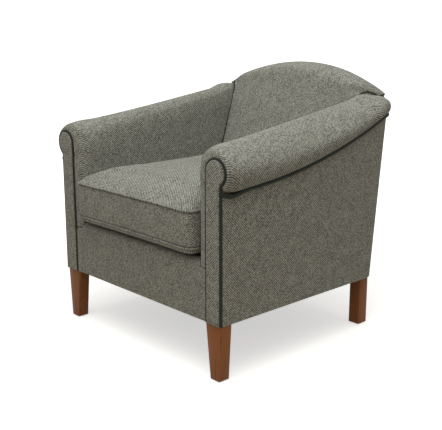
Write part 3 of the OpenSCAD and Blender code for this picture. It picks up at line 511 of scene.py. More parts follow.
class Workbench:
    """Makes, shapes and hands over pieces."""

    def __init__(self, mid_y: float) -> None:
        """Takes the drawing's y that lies over the row frame's origin."""
        self.mid_y = mid_y

    @staticmethod
    def clear() -> None:
        """Deselects everything in object mode."""
        if bpy.context.object and bpy.context.object.mode != "OBJECT":
            bpy.ops.object.mode_set(mode="OBJECT")
        bpy.ops.object.select_all(action="DESELECT")

    def pick(self, piece: bpy.types.Object) -> None:
        """Selects one piece and makes it active."""
        self.clear()
        piece.select_set(True)
        bpy.context.view_layer.objects.active = piece

    def add(self, name: str, verts: np.ndarray, faces: Sequence[Sequence[int]],
            uvs: Optional[np.ndarray] = None) -> bpy.types.Object:
        """Makes a mesh object.

        Args:
            name: the piece's name.
            verts: points in the drawing, in millimetres.
            faces: indices of each face's points.
            uvs: weave coordinates of the points, in metres.

        Returns:
            The new object, linked to the scene.
        """
        mesh = bpy.data.meshes.new(name)
        mesh.from_pydata([tuple(v) for v in to_row(verts, self.mid_y)], [], [tuple(f) for f in faces])
        if uvs is not None:
            layer = mesh.uv_layers.new(name=UV_NAME)
            index = np.zeros(len(mesh.loops), int)
            mesh.loops.foreach_get("vertex_index", index)
            layer.data.foreach_set("uv", np.asarray(uvs, float)[index].ravel())
        piece = bpy.data.objects.new(name, mesh)
        bpy.context.scene.collection.objects.link(piece)
        return piece

    def finish(self, piece: bpy.types.Object, finish: Finish, body: str,
               replaces: Sequence[str] = (), fill: Optional[float] = None,
               angle: float = 50.0, recalc: bool = True) -> bpy.types.Object:
        """Shades, dresses and hands a piece to the frame.

        Args:
            piece: the object.
            finish: its finish.
            body: the CAD body that it rides on.
            replaces: CAD nodes that it stands for.
            fill: how full it is, for a padded piece; not used.
            angle: edges sharper than this stay sharp, in degrees.
            recalc: True where the normals are to be turned outwards.

        Returns:
            The same object.
        """
        self.pick(piece)
        if recalc:
            bpy.ops.object.mode_set(mode="EDIT")
            bpy.ops.mesh.select_all(action="SELECT")
            bpy.ops.mesh.remove_doubles(threshold=1e-6)
            bpy.ops.mesh.normals_make_consistent(inside=False)
            bpy.ops.object.mode_set(mode="OBJECT")
        bpy.ops.object.shade_smooth_by_angle(angle=math.radians(angle))
        piece.data.materials.clear()
        piece.data.materials.append(finish.material())
        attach(piece, body)
        if replaces:
            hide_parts(*replaces)
        self.clear()
        LOG.info("%s: %d faces on %s", piece.name, len(piece.data.polygons), body)
        return piece

    @staticmethod
    def grid_faces(rows: int, cols: int, start: int = 0, turn: bool = False) -> list[list[int]]:
        """Quads of a grid of points."""
        made = []
        for i in range(rows - 1):
            for j in range(cols - 1):
                a = start + i * cols + j
                quad = [a, a + cols, a + cols + 1, a + 1]
                made.append(quad[::-1] if turn else quad)
        return made

    def block(self, name: str, centre: Point, size: Point) -> bpy.types.Object:
        """A box of a given size in metres, which still has to put its place into its mesh."""
        self.clear()
        bpy.ops.mesh.primitive_cube_add(size=1.0, location=centre)
        piece = bpy.context.object
        piece.name, piece.scale = name, size
        bpy.ops.object.transform_apply(location=False, rotation=False, scale=True)
        return piece

    @staticmethod
    def ring_faces(rings: int, points: int) -> list[list[int]]:
        """Quads between rings of points that follow one another."""
        return [[i * points + j, i * points + (j + 1) % points,
                 (i + 1) * points + (j + 1) % points, (i + 1) * points + j]
                for i in range(rings - 1) for j in range(points)]

    def closed_grid(self, name: str, outer: np.ndarray, inner: np.ndarray,
                    uvs: Optional[np.ndarray] = None) -> bpy.types.Object:
        """A closed form between an outer and an inner grid of the same size."""
        rows, cols = outer.shape[:2]
        n = rows * cols
        faces = self.grid_faces(rows, cols) + self.grid_faces(rows, cols, n, True)
        rim = ([i * cols for i in range(rows)] + [(rows - 1) * cols + j for j in range(1, cols)]
               + [i * cols + cols - 1 for i in range(rows - 2, -1, -1)]
               + [j for j in range(cols - 2, 0, -1)])
        for a, b in zip(rim, rim[1:] + rim[:1]):
            faces.append([b, a, n + a, n + b])
        if uvs is None:
            uvs = np.stack([arc(outer, 0), arc(outer, 1)], -1) * MM
        flat = uvs.reshape(-1, 2)
        return self.add(name, np.concatenate([outer.reshape(-1, 3), inner.reshape(-1, 3)]), faces,
                        np.concatenate([flat, flat]))

    def cut_sheet(self, name: str, xs: np.ndarray, ys: np.ndarray, kept: Callable[[float, float], bool],
                  height: Callable[[float, float], float], thick: float,
                  place: Callable[[float, float, float], Point]) -> bpy.types.Object:
        """A thin closed sheet of square cells, some of them cut out.

        Args:
            name: the piece's name.
            xs: the cells' borders one way, in millimetres.
            ys: the cells' borders the other way.
            kept: says whether the cell round a middle point stays.
            height: the sheet's height over a point.
            thick: its thickness.
            place: turns a point and a height into x, y and z.

        Returns:
            The new object.
        """
        cells = {(i, j) for i in range(len(xs) - 1) for j in range(len(ys) - 1)
                 if kept((xs[i] + xs[i + 1]) / 2, (ys[j] + ys[j + 1]) / 2)}
        spots = sorted({(i + a, j + b) for i, j in cells for a in (0, 1) for b in (0, 1)})
        number = {spot: k for k, spot in enumerate(spots)}
        n = len(spots)
        verts = [place(xs[i], ys[j], height(xs[i], ys[j]) + rise) for rise in (0.0, thick)
                 for i, j in spots]
        faces, edges = [], set()
        for i, j in sorted(cells):
            quad = [number[c] for c in ((i, j), (i + 1, j), (i + 1, j + 1), (i, j + 1))]
            faces += [[n + k for k in quad], quad[::-1]]
            edges |= set(zip(quad, quad[1:] + quad[:1]))
        faces += [[a, b, n + b, n + a] for a, b in sorted(edges) if (b, a) not in edges]
        return self.add(name, np.array(verts), faces)

    def tube(self, name: str, route: np.ndarray, radius: Union[float, np.ndarray], sides: int = 12,
             loop: bool = False) -> bpy.types.Object:
        """A round cord along a route.

        Args:
            name: the piece's name.
            route: its points, in millimetres.
            radius: one radius, or one for each point.
            sides: points round the cord.
            loop: True for a closed cord.

        Returns:
            The new object, closed at its ends.
        """
        n = len(route)
        radii = np.broadcast_to(radius, n)
        ahead = np.roll(route, -1, 0) - np.roll(route, 1, 0)
        if not loop:
            ahead[0], ahead[-1] = route[1] - route[0], route[-1] - route[-2]
        ahead /= np.linalg.norm(ahead, axis=1, keepdims=True)
        side = np.cross(ahead[0], [0.0, 0.31, 0.95])
        side /= np.linalg.norm(side)
        verts, uvs, far = [], [], 0.0
        for k in range(n):
            side = side - ahead[k] * side.dot(ahead[k])
            side /= np.linalg.norm(side)
            up = np.cross(side, ahead[k])
            far += 0.0 if k == 0 else float(np.linalg.norm(route[k] - route[k - 1]))
            for i in range(sides):
                a = 2 * math.pi * i / sides
                verts.append(route[k] + radii[k] * (math.cos(a) * side + math.sin(a) * up))
                uvs.append((far * MM, min(i, sides - i) * 2 * math.pi * radii[k] / sides * MM))
        faces = []
        for k in range(n if loop else n - 1):
            for i in range(sides):
                a, b = k * sides, ((k + 1) % n) * sides
                j = (i + 1) % sides
                faces.append([a + i, b + i, b + j, a + j])
        if not loop:
            faces.append(list(range(sides)))
            faces.append([(n - 1) * sides + i for i in range(sides - 1, -1, -1)])
        return self.add(name, np.array(verts), faces, np.array(uvs))

    def apply(self, piece: bpy.types.Object, kind: str, **settings: Any) -> None:
        """Adds a modifier with its settings and applies it."""
        self.pick(piece)
        modifier = piece.modifiers.new(kind.lower(), kind)
        for name, value in settings.items():
            setattr(modifier, name, value)
        bpy.ops.object.modifier_apply(modifier=modifier.name)
        self.clear()

    def inflate(self, piece: bpy.types.Object, pressure: float, cap: float,
                held: Callable[[Vector], float], stiffness: float = 12.0) -> None:
        """Lets cloth swell under pressure, then caps how far each point has moved.

        Args:
            piece: a closed mesh.
            pressure: cloth pressure.
            cap: furthest that a point may move, in metres.
            held: how firmly a point is held, from 0 to 1.
            stiffness: the cloth's stiffness in tension.
        """
        self.pick(piece)
        rest = np.array([v.co[:] for v in piece.data.vertices])
        group = piece.vertex_groups.new(name="held")
        for vertex in piece.data.vertices:
            group.add([vertex.index], held(vertex.co), "REPLACE")
        cloth = piece.modifiers.new("cloth", "CLOTH")
        cloth.settings.quality = 5
        cloth.settings.use_pressure = True
        cloth.settings.uniform_pressure_force = pressure
        cloth.settings.tension_stiffness = stiffness
        cloth.settings.compression_stiffness = stiffness
        cloth.settings.bending_stiffness = 0.6
        cloth.settings.effector_weights.gravity = 0.0
        cloth.settings.vertex_group_mass = "held"
        cloth.collision_settings.use_collision = False
        scene = bpy.context.scene
        for number in range(1, 21):
            scene.frame_set(number)
        bpy.ops.object.modifier_apply(modifier="cloth")
        scene.frame_set(1)
        piece.vertex_groups.clear()
        now = np.array([v.co[:] for v in piece.data.vertices])
        move = now - rest
        far = np.linalg.norm(move, axis=1, keepdims=True)
        LOG.info("%s swelled by up to %.1f mm", piece.name, float(far.max()) / MM)
        now = rest + move * np.minimum(1.0, cap / np.maximum(far, 1e-9))
        piece.data.vertices.foreach_set("co", now.ravel())
        piece.data.update()
        self.clear()


# ---------------------------------------------------------------- the chair's forms
@dataclass(frozen=True)
class Form:
    """Sizes of the chair's outside, in millimetres, and the surfaces that they give."""

    half_w: float = 360.0
    body_d: float = 651.0
    body_z: float = 160.0
    deck_h: float = 320.0
    foot_drop: float = 14.0
    outer_slope: float = math.tan(math.radians(5.8))
    inner_slope: float = math.tan(math.radians(16.7))
    corner_r: float = 40.0
    crest_h: float = 793.0
    crest_r: float = 716.0
    crest_pad: float = 27.0
    crest_rear_pad: float = 6.0
    crest_peak_share: float = 0.82
    seat_d: float = 576.0
    bend_h: float = 450.0
    back_crown: float = 18.0
    rear_crown: float = 22.0
    inner_x: float = 268.0
    arm_front_h: float = 622.0
    arm_back_h: float = 715.0
    crease_front_h: float = 512.0
    crease_back_h: float = 660.0
    roll_front_r: float = 50.0
    roll_back_r: float = 22.0
    roll_front_proud: float = 34.0
    roll_back_proud: float = 18.0
    roll_inner_front_r: float = 61.0
    roll_inner_r: float = 27.0
    arm_edge_r: float = 16.0
    arm_rise_share: float = 1.18
    inner_fade_share: float = 0.42
    head_h: float = 561.5
    head_x: float = 338.44
    head_r: float = 35.5
    piping_r: float = 4.0
    crease_piping_r: float = 6.0
    crease_proud: float = 2.0
    crease_drop: float = 3.0
    facing_t: float = 10.0
    cloth_t: float = 2.0
    panel_t: float = 3.0
    touch: float = 0.3
    dive: float = 8.0
    roll_dive_share: float = 0.75
    shoulder_r: float = 51.0
    shoulder_end: float = 50.0
    shoulder_set: float = 42.0
    end_rise: float = 5.0
    end_inset: float = 9.0
    end_start_share: float = 0.6
    bulge_end: float = 72.0
    shoulder_share: float = 0.88
    crest_t: float = 22.0
    crest_inset: float = 38.0
    fillet_r: float = 14.0
    board_gap: float = 1.0
    cushion_proud: float = 22.0

    @property
    def mid_y(self) -> float:
        """The drawing's y over the row frame's origin."""
        return (self.body_d + self.rear_crown - self.cushion_proud
                + self.outer_slope * (self.crest_h - self.crest_rear_pad - self.body_z)) / 2

    @property
    def arm_len(self) -> float:
        """Length of an arm up to its rear corner."""
        return self.rear_y(self.crease_back_h) - self.corner_r / 2

    @property
    def foot_z(self) -> float:
        """Height of the arm cover's foot inside."""
        return self.deck_h - self.foot_drop

    @property
    def side_x(self) -> float:
        """Half width of the seat space."""
        return self.inner_x - self.touch

    @property
    def shoulder_x(self) -> float:
        """Half width of the back's arch."""
        return self.half_w - self.corner_r - self.touch

    @property
    def core_x(self) -> float:
        """Inside of the scroll board."""
        return self.head_x - self.head_r - self.board_gap

    @property
    def seam_top_h(self) -> float:
        """Height at which the inside back starts to spread over the arms."""
        return self.arm_back_h - self.roll_inner_r

    @property
    def fillet(self) -> tuple[float, float, float]:
        """Centre of the reverse curve under the head, and its angle from the head's centre."""
        x = self.half_w - self.piping_r + self.fillet_r
        h = self.head_h - math.sqrt((self.head_r + self.fillet_r) ** 2 - (x - self.head_x) ** 2)
        return x, h, math.degrees(math.atan2(h - self.head_h, x - self.head_x))

    def rear_y(self, z: float) -> float:
        """Outside back at its corners."""
        return self.body_d + self.outer_slope * (z - self.body_z)

    def rear_crown_y(self, x: float, z: float) -> float:
        """Outside back with its crown."""
        share = min(1.0, abs(x) / (self.half_w - self.corner_r))
        return self.rear_y(z) + self.rear_crown * (1.0 - share**2)

    def seam_y(self, z: float) -> float:
        """Side seam of the inside back."""
        return self.seat_d + self.inner_slope * max(z - self.bend_h, 0.0)

    def arm_top_h(self, u: float) -> float:
        """Top of an arm at share u of its length."""
        return lerp(self.arm_front_h, self.arm_back_h, u**self.arm_rise_share)

    def crease_h(self, u: float) -> float:
        """Crease under the roll at share u of the arm's length."""
        return lerp(self.crease_front_h, self.crease_back_h, u**2)

    def two_circles(self, x: float, z0: float, ci: Point, ri: float, co: Point, ro: float,
                    end: float) -> list[tuple[float, float]]:
        """Outline up an inside face, over two circles and down to a crease."""
        dx, dz = co[0] - ci[0], co[1] - ci[1]
        length = math.hypot(dx, dz)
        tangent = 60.0 if length < self.touch else (
            math.degrees(math.atan2(dz, dx)) + math.degrees(math.acos((ri - ro) / length)))
        made = [(x, lerp(z0, ci[1], i / 4)) for i in range(4)]
        for i in range(6):
            a = math.radians(lerp(180.0, tangent, i / 5))
            made.append((ci[0] + ri * math.cos(a), ci[1] + ri * math.sin(a)))
        for i in range(1, 9):
            a = math.radians(lerp(tangent, end, i / 8))
            made.append((co[0] + ro * math.cos(a), co[1] + ro * math.sin(a)))
        return made

    def roll(self, u: float, t: float, stop: float, sink: float = 0.0) -> list[tuple[float, float]]:
        """Arm section at share u, t below the cover, stopping short of the crease."""
        ro = lerp(self.roll_front_r, self.roll_back_r, u) - sink * self.roll_dive_share / 2
        cx = self.half_w + lerp(self.roll_front_proud, self.roll_back_proud, u) - ro
        cz = self.crease_h(u) + math.sqrt(ro * ro - (self.half_w - cx) ** 2)
        ri = lerp(self.roll_inner_front_r, self.roll_inner_r, u**self.inner_fade_share)
        end = -math.degrees(math.acos((self.half_w - cx) / ro)) + math.degrees(stop / ro)
        return self.two_circles(self.inner_x + t, self.foot_z,
                                (self.inner_x + ri, self.arm_top_h(u) - ri - sink), ri - t,
                                (cx, cz), ro - t, end)

    def head(self, g: float, stop: float) -> list[tuple[float, float]]:
        """Scroll head's outline, grown by g from the piping's middle line."""
        r = self.head_r + g
        end = -math.degrees(math.acos((self.half_w - self.head_x) / (self.head_r + self.piping_r)))
        centre = (self.head_x, self.head_h)
        return self.two_circles(self.head_x - r, self.foot_z, centre, r, centre, r,
                                end + math.degrees(stop / r))

    def arch(self, s: float, r_in: float) -> tuple[float, float]:
        """Point of the back's outline at share s of its width, r_in inside the edge."""
        a = min(abs(s), self.shoulder_share) / self.shoulder_share * self.shoulder_x
        dx, dz = a / self.crest_r, math.sqrt(self.crest_r**2 - a * a) / self.crest_r
        px, pz = self.crest_r * dx, self.crest_h - self.crest_r + self.crest_r * dz
        if abs(s) > self.shoulder_share:
            t = min(1.0, (abs(s) - self.shoulder_share) / (1 - self.shoulder_share))
            f = math.radians(lerp(math.degrees(math.atan2(dz, dx)), self.shoulder_end, t))
            cx, cz = px - self.shoulder_r * dx, pz - self.shoulder_r * dz
            dx, dz = math.cos(f), math.sin(f)
            px, pz = cx + self.shoulder_r * dx, cz + self.shoulder_r * dz
        gx, gz = px - r_in * dx, pz - r_in * dz
        return (-gx if s < 0 else gx), gz

    def front_rise(self, s: float) -> float:
        """Height of the top's front rounding at share s of the back's width."""
        return lerp(self.crest_pad, self.end_rise, self.end_share(s))

    def end_share(self, s: float) -> float:
        """How near share s is to an end of the back."""
        return smooth((abs(s) - self.end_start_share) / (1 - self.end_start_share))

    def back_front_y(self, x: float, z: float) -> float:
        """Inside back's surface."""
        return (self.seam_y(z) - self.back_crown * (1.0 - min(1.0, abs(x) / self.side_x) ** 4)
                + self.shoulder_set * smooth((abs(x) - self.side_x) / (self.shoulder_x - self.side_x)))


FORM = Form()
BENCH = Workbench(FORM.mid_y)
EDGE_ANGLES = (0, 30, 60, 90)
REAR_ANGLES = (0, 30, 60, 84)
ARM_SHARES = (0.15, 0.27, 0.39, 0.51, 0.63, 0.75, 0.86)
SIDE_SHARES = (0.14, 0.26, 0.38, 0.5, 0.62, 0.74, 0.86)


class Side(Enum):
    """A side of the chair, seen from the front."""

    RIGHT = 1
    LEFT = -1

    @property
    def tag(self) -> str:
        """The side's name in the names of pieces."""
        return self.name.lower()

    def turn(self, points: np.ndarray) -> np.ndarray:
        """Points of the right side, or mirrored to the left."""
        return np.asarray(points, float) * [self.value, 1.0, 1.0]


@dataclass
class Arm:
    """One scroll arm: padding, facing, outside panel and contrast piping."""

    side: Side
    form: Form = FORM
    crease_room: float = 5.9
    fine: int = 4

    def rear_u(self, a: float) -> float:
        """Share of the arm's length at angle a of its rear corner."""
        return lerp(1.0 - self.form.corner_r / self.form.arm_len / 2, 1.0, math.sin(math.radians(a)))

    def end_y(self, x: float, z: float) -> float:
        """Rear end of the padding, in front of the crest rail and the back panel."""
        f = self.form
        share = smooth((x - f.core_x - f.piping_r) / (f.corner_r / 2))
        return f.rear_y(z) - f.panel_t - f.touch - (f.crest_t + 7 * f.touch) * (1.0 - share)

    def rear_row(self, section: Sequence[Point], a: float, t: float) -> list[Point]:
        """A section drawn in round the rear corner."""
        f, made = self.form, []
        for x, z in section:
            edge = f.half_w - f.corner_r
            px = lerp(edge, x, math.cos(math.radians(a))) if x > edge else x
            made.append((px, self.end_y(x, z) - (f.corner_r - t) * (1 - math.sin(math.radians(a))), z))
        return made

    def cover_rows(self) -> np.ndarray:
        """The cover's surface from front to back."""
        f, rows = self.form, []
        front = np.array(f.head(f.piping_r + 2 * f.touch, 1.0))
        behind = np.array(f.roll(f.facing_t / f.arm_len, 0.0, self.crease_room))
        for a in EDGE_ANGLES:
            turn = math.radians(a)
            y = f.facing_t - f.piping_r + f.arm_edge_r * (1 - math.cos(turn))
            rows.append([(x, y, z) for x, z in lerp(front, behind, math.sin(turn))])
        for u in ARM_SHARES:
            rows.append([(x, u * f.arm_len, z) for x, z in f.roll(u, 0.0, self.crease_room)])
        for a in REAR_ANGLES:
            turn = math.sin(math.radians(a))
            rows.append(self.rear_row(f.roll(self.rear_u(a), 0.0, self.crease_room + 10.0 * turn,
                                             f.dive * turn), a, 0.0))
        return np.array(rows)

    def core_rows(self) -> np.ndarray:
        """The padding's inner surface, round the scroll board and over the arm rail."""
        f, rows = self.form, []

        def wrap(u: float) -> list[tuple[float, float]]:
            top = lerp(f.crease_h(u), f.arm_top_h(u), 0.45)
            return f.two_circles(f.core_x, f.foot_z, (f.core_x + f.touch, top - f.touch), f.touch,
                                 (f.half_w - f.panel_t - f.touch, top - f.touch), f.touch, 0.0)

        for a in EDGE_ANGLES:
            y = f.facing_t + f.touch + (f.arm_edge_r - f.cloth_t) * (1 - math.cos(math.radians(a)))
            rows.append([(x, y, z) for x, z in f.head(1.0, f.piping_r)])
        for u in ARM_SHARES:
            rows.append([(x, u * f.arm_len, z) for x, z in wrap(u)])
        for a in REAR_ANGLES:
            rows.append(self.rear_row(wrap(self.rear_u(a)), a, f.cloth_t))
        return np.array(rows)

    def padding(self) -> bpy.types.Object:
        """The padded arm: cover and padding in one closed form, with the weave laid along it."""
        outer = dense(self.cover_rows(), self.fine)
        inner = dense(self.core_rows(), self.fine)
        around = arc(outer, 1)
        mid = outer.shape[1] // 2
        along = np.broadcast_to(arc(outer, 0)[:, mid:mid + 1], around.shape)
        start = []
        for row, length in zip(outer, around):
            widest = int(row[:, 0].argmax()) + 1
            start.append(np.interp(min(self.form.half_w - 30.0, row[widest - 1, 0] - 2.0),
                                   row[:widest, 0], length[:widest]))
        uvs = np.stack([along, around - np.array(start)[:, None]], -1) * MM
        piece = BENCH.closed_grid(f"arm_padding_{self.side.tag}", self.side.turn(outer),
                                  self.side.turn(inner), uvs)
        finish = TWEED_RISING if self.side is Side.RIGHT else TWEED
        return BENCH.finish(piece, finish, "root",
                            [f"inside_arm_cover_{self.side.tag}", f"arm_pad_{self.side.tag}"], 0.85)

    def scroll(self, g: float, steps: int = 40) -> np.ndarray:
        """The facing's outline grown by g, as x and z, from the inner foot to the outer one."""
        f = self.form
        fx, fh, fa = f.fillet
        left, right = f.head_x - f.head_r - g, f.half_w - f.piping_r + g
        made = [(left, lerp(f.body_z, f.head_h, i / 12)) for i in range(12)]
        for i in range(steps + 1):
            a = math.radians(lerp(180.0, fa, i / steps))
            made.append((f.head_x + (f.head_r + g) * math.cos(a), f.head_h + (f.head_r + g) * math.sin(a)))
        for i in range(1, 9):
            a = math.radians(lerp(fa + 180.0, 180.0, i / 8))
            made.append((fx + (f.fillet_r - g) * math.cos(a), fh + (f.fillet_r - g) * math.sin(a)))
        return np.array(made + [(right, lerp(fh, f.body_z, i / 12)) for i in range(1, 13)])

    def facing(self) -> bpy.types.Object:
        """The padded plate on the arm's front, with a soft rounded edge."""
        f = self.form
        layers = ((-f.piping_r - f.touch, f.facing_t), (-f.piping_r - f.touch, 4.6),
                  (-f.piping_r + 1.4, 3.0), (-f.piping_r + 1.0, 1.6), (-f.piping_r - 1.2, 0.6),
                  (-f.piping_r - 5.0, 0.15), (-f.piping_r - 9.0, 0.0))
        rings = [np.array([(x, y, max(z, f.body_z + max(0.0, -g - 4.3) * 0.9)) for x, z in self.scroll(g)])
                 for g, y in layers]
        n = len(rings[0])
        faces = [list(range(n))] + BENCH.ring_faces(len(rings), n)
        faces.append([(len(rings) - 1) * n + i for i in range(n - 1, -1, -1)])
        verts = self.side.turn(np.concatenate(rings))
        piece = BENCH.add(f"arm_facing_plate_{self.side.tag}", verts, faces, verts[:, [0, 2]] * MM)
        return BENCH.finish(piece, TWEED_RISING, "root", [f"arm_facing_{self.side.tag}"], 0.9)

    def panel(self) -> bpy.types.Object:
        """The outside arm panel, wrapped round the rear corner."""
        f = self.form

        def rows(t: float) -> np.ndarray:
            made = []
            for u in ((f.facing_t + f.touch) / f.arm_len, *SIDE_SHARES):
                top = f.crease_h(u) - f.crease_drop - f.crease_piping_r - 3 * f.touch
                made.append([(f.half_w - t, u * f.arm_len, lerp(f.body_z, top, k / 4)) for k in range(5)])
            for a in (*REAR_ANGLES, 90):
                turn = math.radians(a)
                top = f.crease_h(self.rear_u(a)) - f.crease_drop - f.crease_piping_r - 3 * f.touch
                made.append([(f.half_w - f.corner_r + (f.corner_r - t) * math.cos(turn),
                              f.rear_y(z) - f.corner_r + (f.corner_r - t) * math.sin(turn), z)
                             for z in (lerp(f.body_z, top, k / 4) for k in range(5))])
            return dense(made, self.fine, 3)

        outer = rows(0.0)
        uvs = np.stack([arc(outer, 0), outer[..., 2]], -1) * MM
        piece = BENCH.closed_grid(f"outside_arm_cloth_{self.side.tag}", self.side.turn(outer),
                                  self.side.turn(rows(f.panel_t)), uvs)
        return BENCH.finish(piece, TWEED, "root", [f"outside_arm_panel_{self.side.tag}"], 0.5)

    def crease_cord(self) -> bpy.types.Object:
        """Contrast piping in the crease under the roll, from the facing round the rear corner."""
        f = self.form
        route = [(f.half_w - 1.5, f.facing_t - f.piping_r, f.crease_h(0.0) - f.crease_drop + 3.5)]
        for u in ((f.facing_t + f.touch) / f.arm_len, *SIDE_SHARES):
            route.append((f.half_w + f.crease_proud, u * f.arm_len, f.crease_h(u) - f.crease_drop))
        for a in REAR_ANGLES:
            turn, z = math.radians(a), f.crease_h(self.rear_u(a)) - f.crease_drop
            out = f.corner_r + f.crease_proud
            route.append((f.half_w - f.corner_r + out * math.cos(turn),
                          f.rear_y(z) - f.corner_r + out * math.sin(turn), z))
        line = self.side.turn(refine(np.array(route), 0, 8))
        radius = np.interp(np.arange(len(line)), (0, 8), (f.crease_piping_r * 0.75, f.crease_piping_r))
        piece = BENCH.tube(f"arm_piping_cord_{self.side.tag}", line, radius)
        return BENCH.finish(piece, CORD_CLOTH, "root", [f"arm_piping_{self.side.tag}"])

    def facing_cord(self) -> bpy.types.Object:
        """Contrast piping round the facing."""
        f = self.form
        line = np.array([(x, f.facing_t - f.piping_r, z) for x, z in self.scroll(0.0)])
        piece = BENCH.tube(f"facing_piping_cord_{self.side.tag}", self.side.turn(line), f.piping_r)
        return BENCH.finish(piece, CORD_CLOTH, "root", [f"facing_piping_{self.side.tag}"])

    def build(self) -> None:
        """Makes every piece of the arm."""
        self.padding()
        self.facing()
        self.panel()
        self.crease_cord()
        self.facing_cord()


@dataclass
class Back:
    """The arched back: padding in front, panel behind."""

    form: Form = FORM
    cols: tuple[float, ...] = (-1, -0.94, -0.88, -0.7, -0.48, -0.24, 0, 0.24, 0.48, 0.7, 0.88, 0.94, 1)
    fine: int = 4
    # Radius of the near-black cord of painted shade down each side of the back.
    seam_shade_r: float = 2.2
    foot_shares: tuple[float, ...] = (0, 0.18, 0.36, 0.58, 0.8, 1)
    blend_shares: tuple[float, ...] = (0.16, 0.33, 0.5, 0.75, 1)
    top_angles: tuple[int, ...] = (25, 50, 75, 100, 125, 150, 175)
    seam_rows: int = 14

    def seam_bulge(self, w: float) -> tuple[float, float]:
        """How far the edge beside the arm stands off a straight line."""
        f = self.form
        a = math.radians(lerp(180.0, f.bulge_end, w))
        r = f.roll_inner_r + 8 * f.touch
        end = f.arch(1.0, f.end_rise)
        return (f.inner_x + f.roll_inner_r + r * math.cos(a) - lerp(f.side_x, end[0], w),
                f.seam_top_h + r * math.sin(a) - lerp(f.seam_top_h, end[1], w))

    def face_point(self, s: float, w: float) -> Point:
        """Inside back between the seat's sides and the arch."""
        f = self.form
        top = f.arch(s, f.front_rise(s))
        k = abs(s) ** 8 if w < 1 else 0.0
        bulge = self.seam_bulge(w)
        x = lerp(s * f.side_x, top[0], w) + k * math.copysign(1.0, s) * bulge[0]
        z = lerp(f.seam_top_h, top[1], w) + k * bulge[1]
        return x, f.back_front_y(x, z), z

    def top_point(self, s: float, a: float) -> Point:
        """Rounded top between the inside back and the rear seam."""
        f, turn = self.form, math.radians(a)
        front, rear = f.arch(s, f.front_rise(s)), f.arch(s, f.crest_rear_pad)
        p = f.arch(s, (f.front_rise(s) if a < 90 else f.crest_rear_pad) * (1 - math.sin(turn)))
        peak = f.crest_peak_share
        share = peak * (1 - math.cos(turn)) if a < 90 else peak - (1 - peak) * math.cos(turn)
        return p[0], lerp(f.back_front_y(*front), f.rear_crown_y(*rear), share), p[1]

    def frame_y(self, x: float, z: float) -> float:
        """Front of the frame behind the padding."""
        f = self.form
        pad = f.core_x - f.inner_x - f.cloth_t
        return (f.rear_y(z) - f.panel_t - 3 * f.touch
                - f.crest_t * (1.0 - smooth((abs(x) - f.side_x - pad) / pad)))

    def padding(self) -> bpy.types.Object:
        """Inside back and arched top in one closed form, with a near-black cord of painted shade down each
        side edge.
        """
        f = self.form
        outer, inner = [], []
        for k in self.foot_shares:
            z = lerp(f.deck_h + f.touch, f.seam_top_h, k)
            outer.append([(s * f.side_x, f.back_front_y(s * f.side_x, z), z) for s in self.cols])
            inner.append([(s * f.side_x, self.frame_y(s * f.side_x, z), z) for s in self.cols])
        for w in self.blend_shares:
            outer.append([self.face_point(s, w) for s in self.cols])
            row = []
            for s in self.cols:
                q = self.face_point(s, w)
                g = f.arch(s, self.core_inset(s))
                k = w * (1 - abs(s) ** 8) if w < 1 else 1.0
                x, z = lerp(q[0], g[0], k), lerp(q[2], g[1], k)
                row.append((x, self.frame_y(x, z), z))
            inner.append(row)
        for a in self.top_angles:
            outer.append([self.top_point(s, a) for s in self.cols])
            row = []
            for s in self.cols:
                x, z = f.arch(s, self.core_inset(s) - f.touch * math.sin(math.radians(a)))
                row.append((x, lerp(self.frame_y(x, z), f.rear_y(z) - f.panel_t - f.touch,
                                    (1 - math.cos(math.radians(a))) / 2), z))
            inner.append(row)
        outer, inner = dense(outer, self.fine), dense(inner, self.fine)
        up = arc(outer, 0)
        mid = outer.shape[1] // 2
        across = arc(outer, 1)
        uvs = np.stack([across - across[:, mid:mid + 1],
                        np.broadcast_to(up[:, mid:mid + 1], across.shape)], -1) * MM
        # Thin near-black cords down the back's side edges where it meets the arms: painted shade for the
        # shadow in the tucked crease there, not real piping.
        for side, column in ((Side.LEFT, 0), (Side.RIGHT, -1)):
            line = outer[:self.seam_rows * self.fine + 1, column] - np.array([side.value * 1.0, 1.0, 0.0])
            bends = (0, (self.seam_rows - 4) * self.fine, (self.seam_rows - 2) * self.fine, len(line))
            thick = np.interp(np.arange(len(line)), bends, (self.seam_shade_r, self.seam_shade_r, 1.3, 0.7))
            BENCH.finish(BENCH.tube(f"back_seam_{side.tag}", line, thick), SEAM_SHADE_CORD, "root")
        piece = BENCH.closed_grid("back_padding", outer, inner, uvs)
        return BENCH.finish(piece, TWEED_FLAT, "root", ["inside_back_cover", "back_pad"], 0.85)

    def core_inset(self, s: float) -> float:
        """How far the padding's inner side lies inside the arch."""
        return lerp(self.form.crest_inset, self.form.end_inset, self.form.end_share(s))

    def panel(self) -> bpy.types.Object:
        """The outside back from the underside to the rear seam."""
        f = self.form

        def rows(t: float) -> np.ndarray:
            made = []
            for k in (0, 0.45, 0.8, 0.955, 1):
                row = []
                for s in self.cols:
                    q = f.arch(s, f.crest_rear_pad + f.touch)
                    x = lerp(s * f.shoulder_x, q[0], min(1.0, max(0.0, (k - 0.955) / 0.045)))
                    z = lerp(f.body_z, q[1], k)
                    row.append((x, f.rear_crown_y(x, z) - t, z))
                made.append(row)
            return dense(made, self.fine)

        outer = rows(0.0)
        uvs = np.stack([outer[..., 0], outer[..., 2]], -1) * MM
        piece = BENCH.closed_grid("outside_back_cloth", outer, rows(f.panel_t), uvs)
        return BENCH.finish(piece, TWEED, "root", ["outside_back_panel"], 0.5)

    def build(self) -> None:
        """Makes every piece of the back."""
        self.padding()
        self.panel()


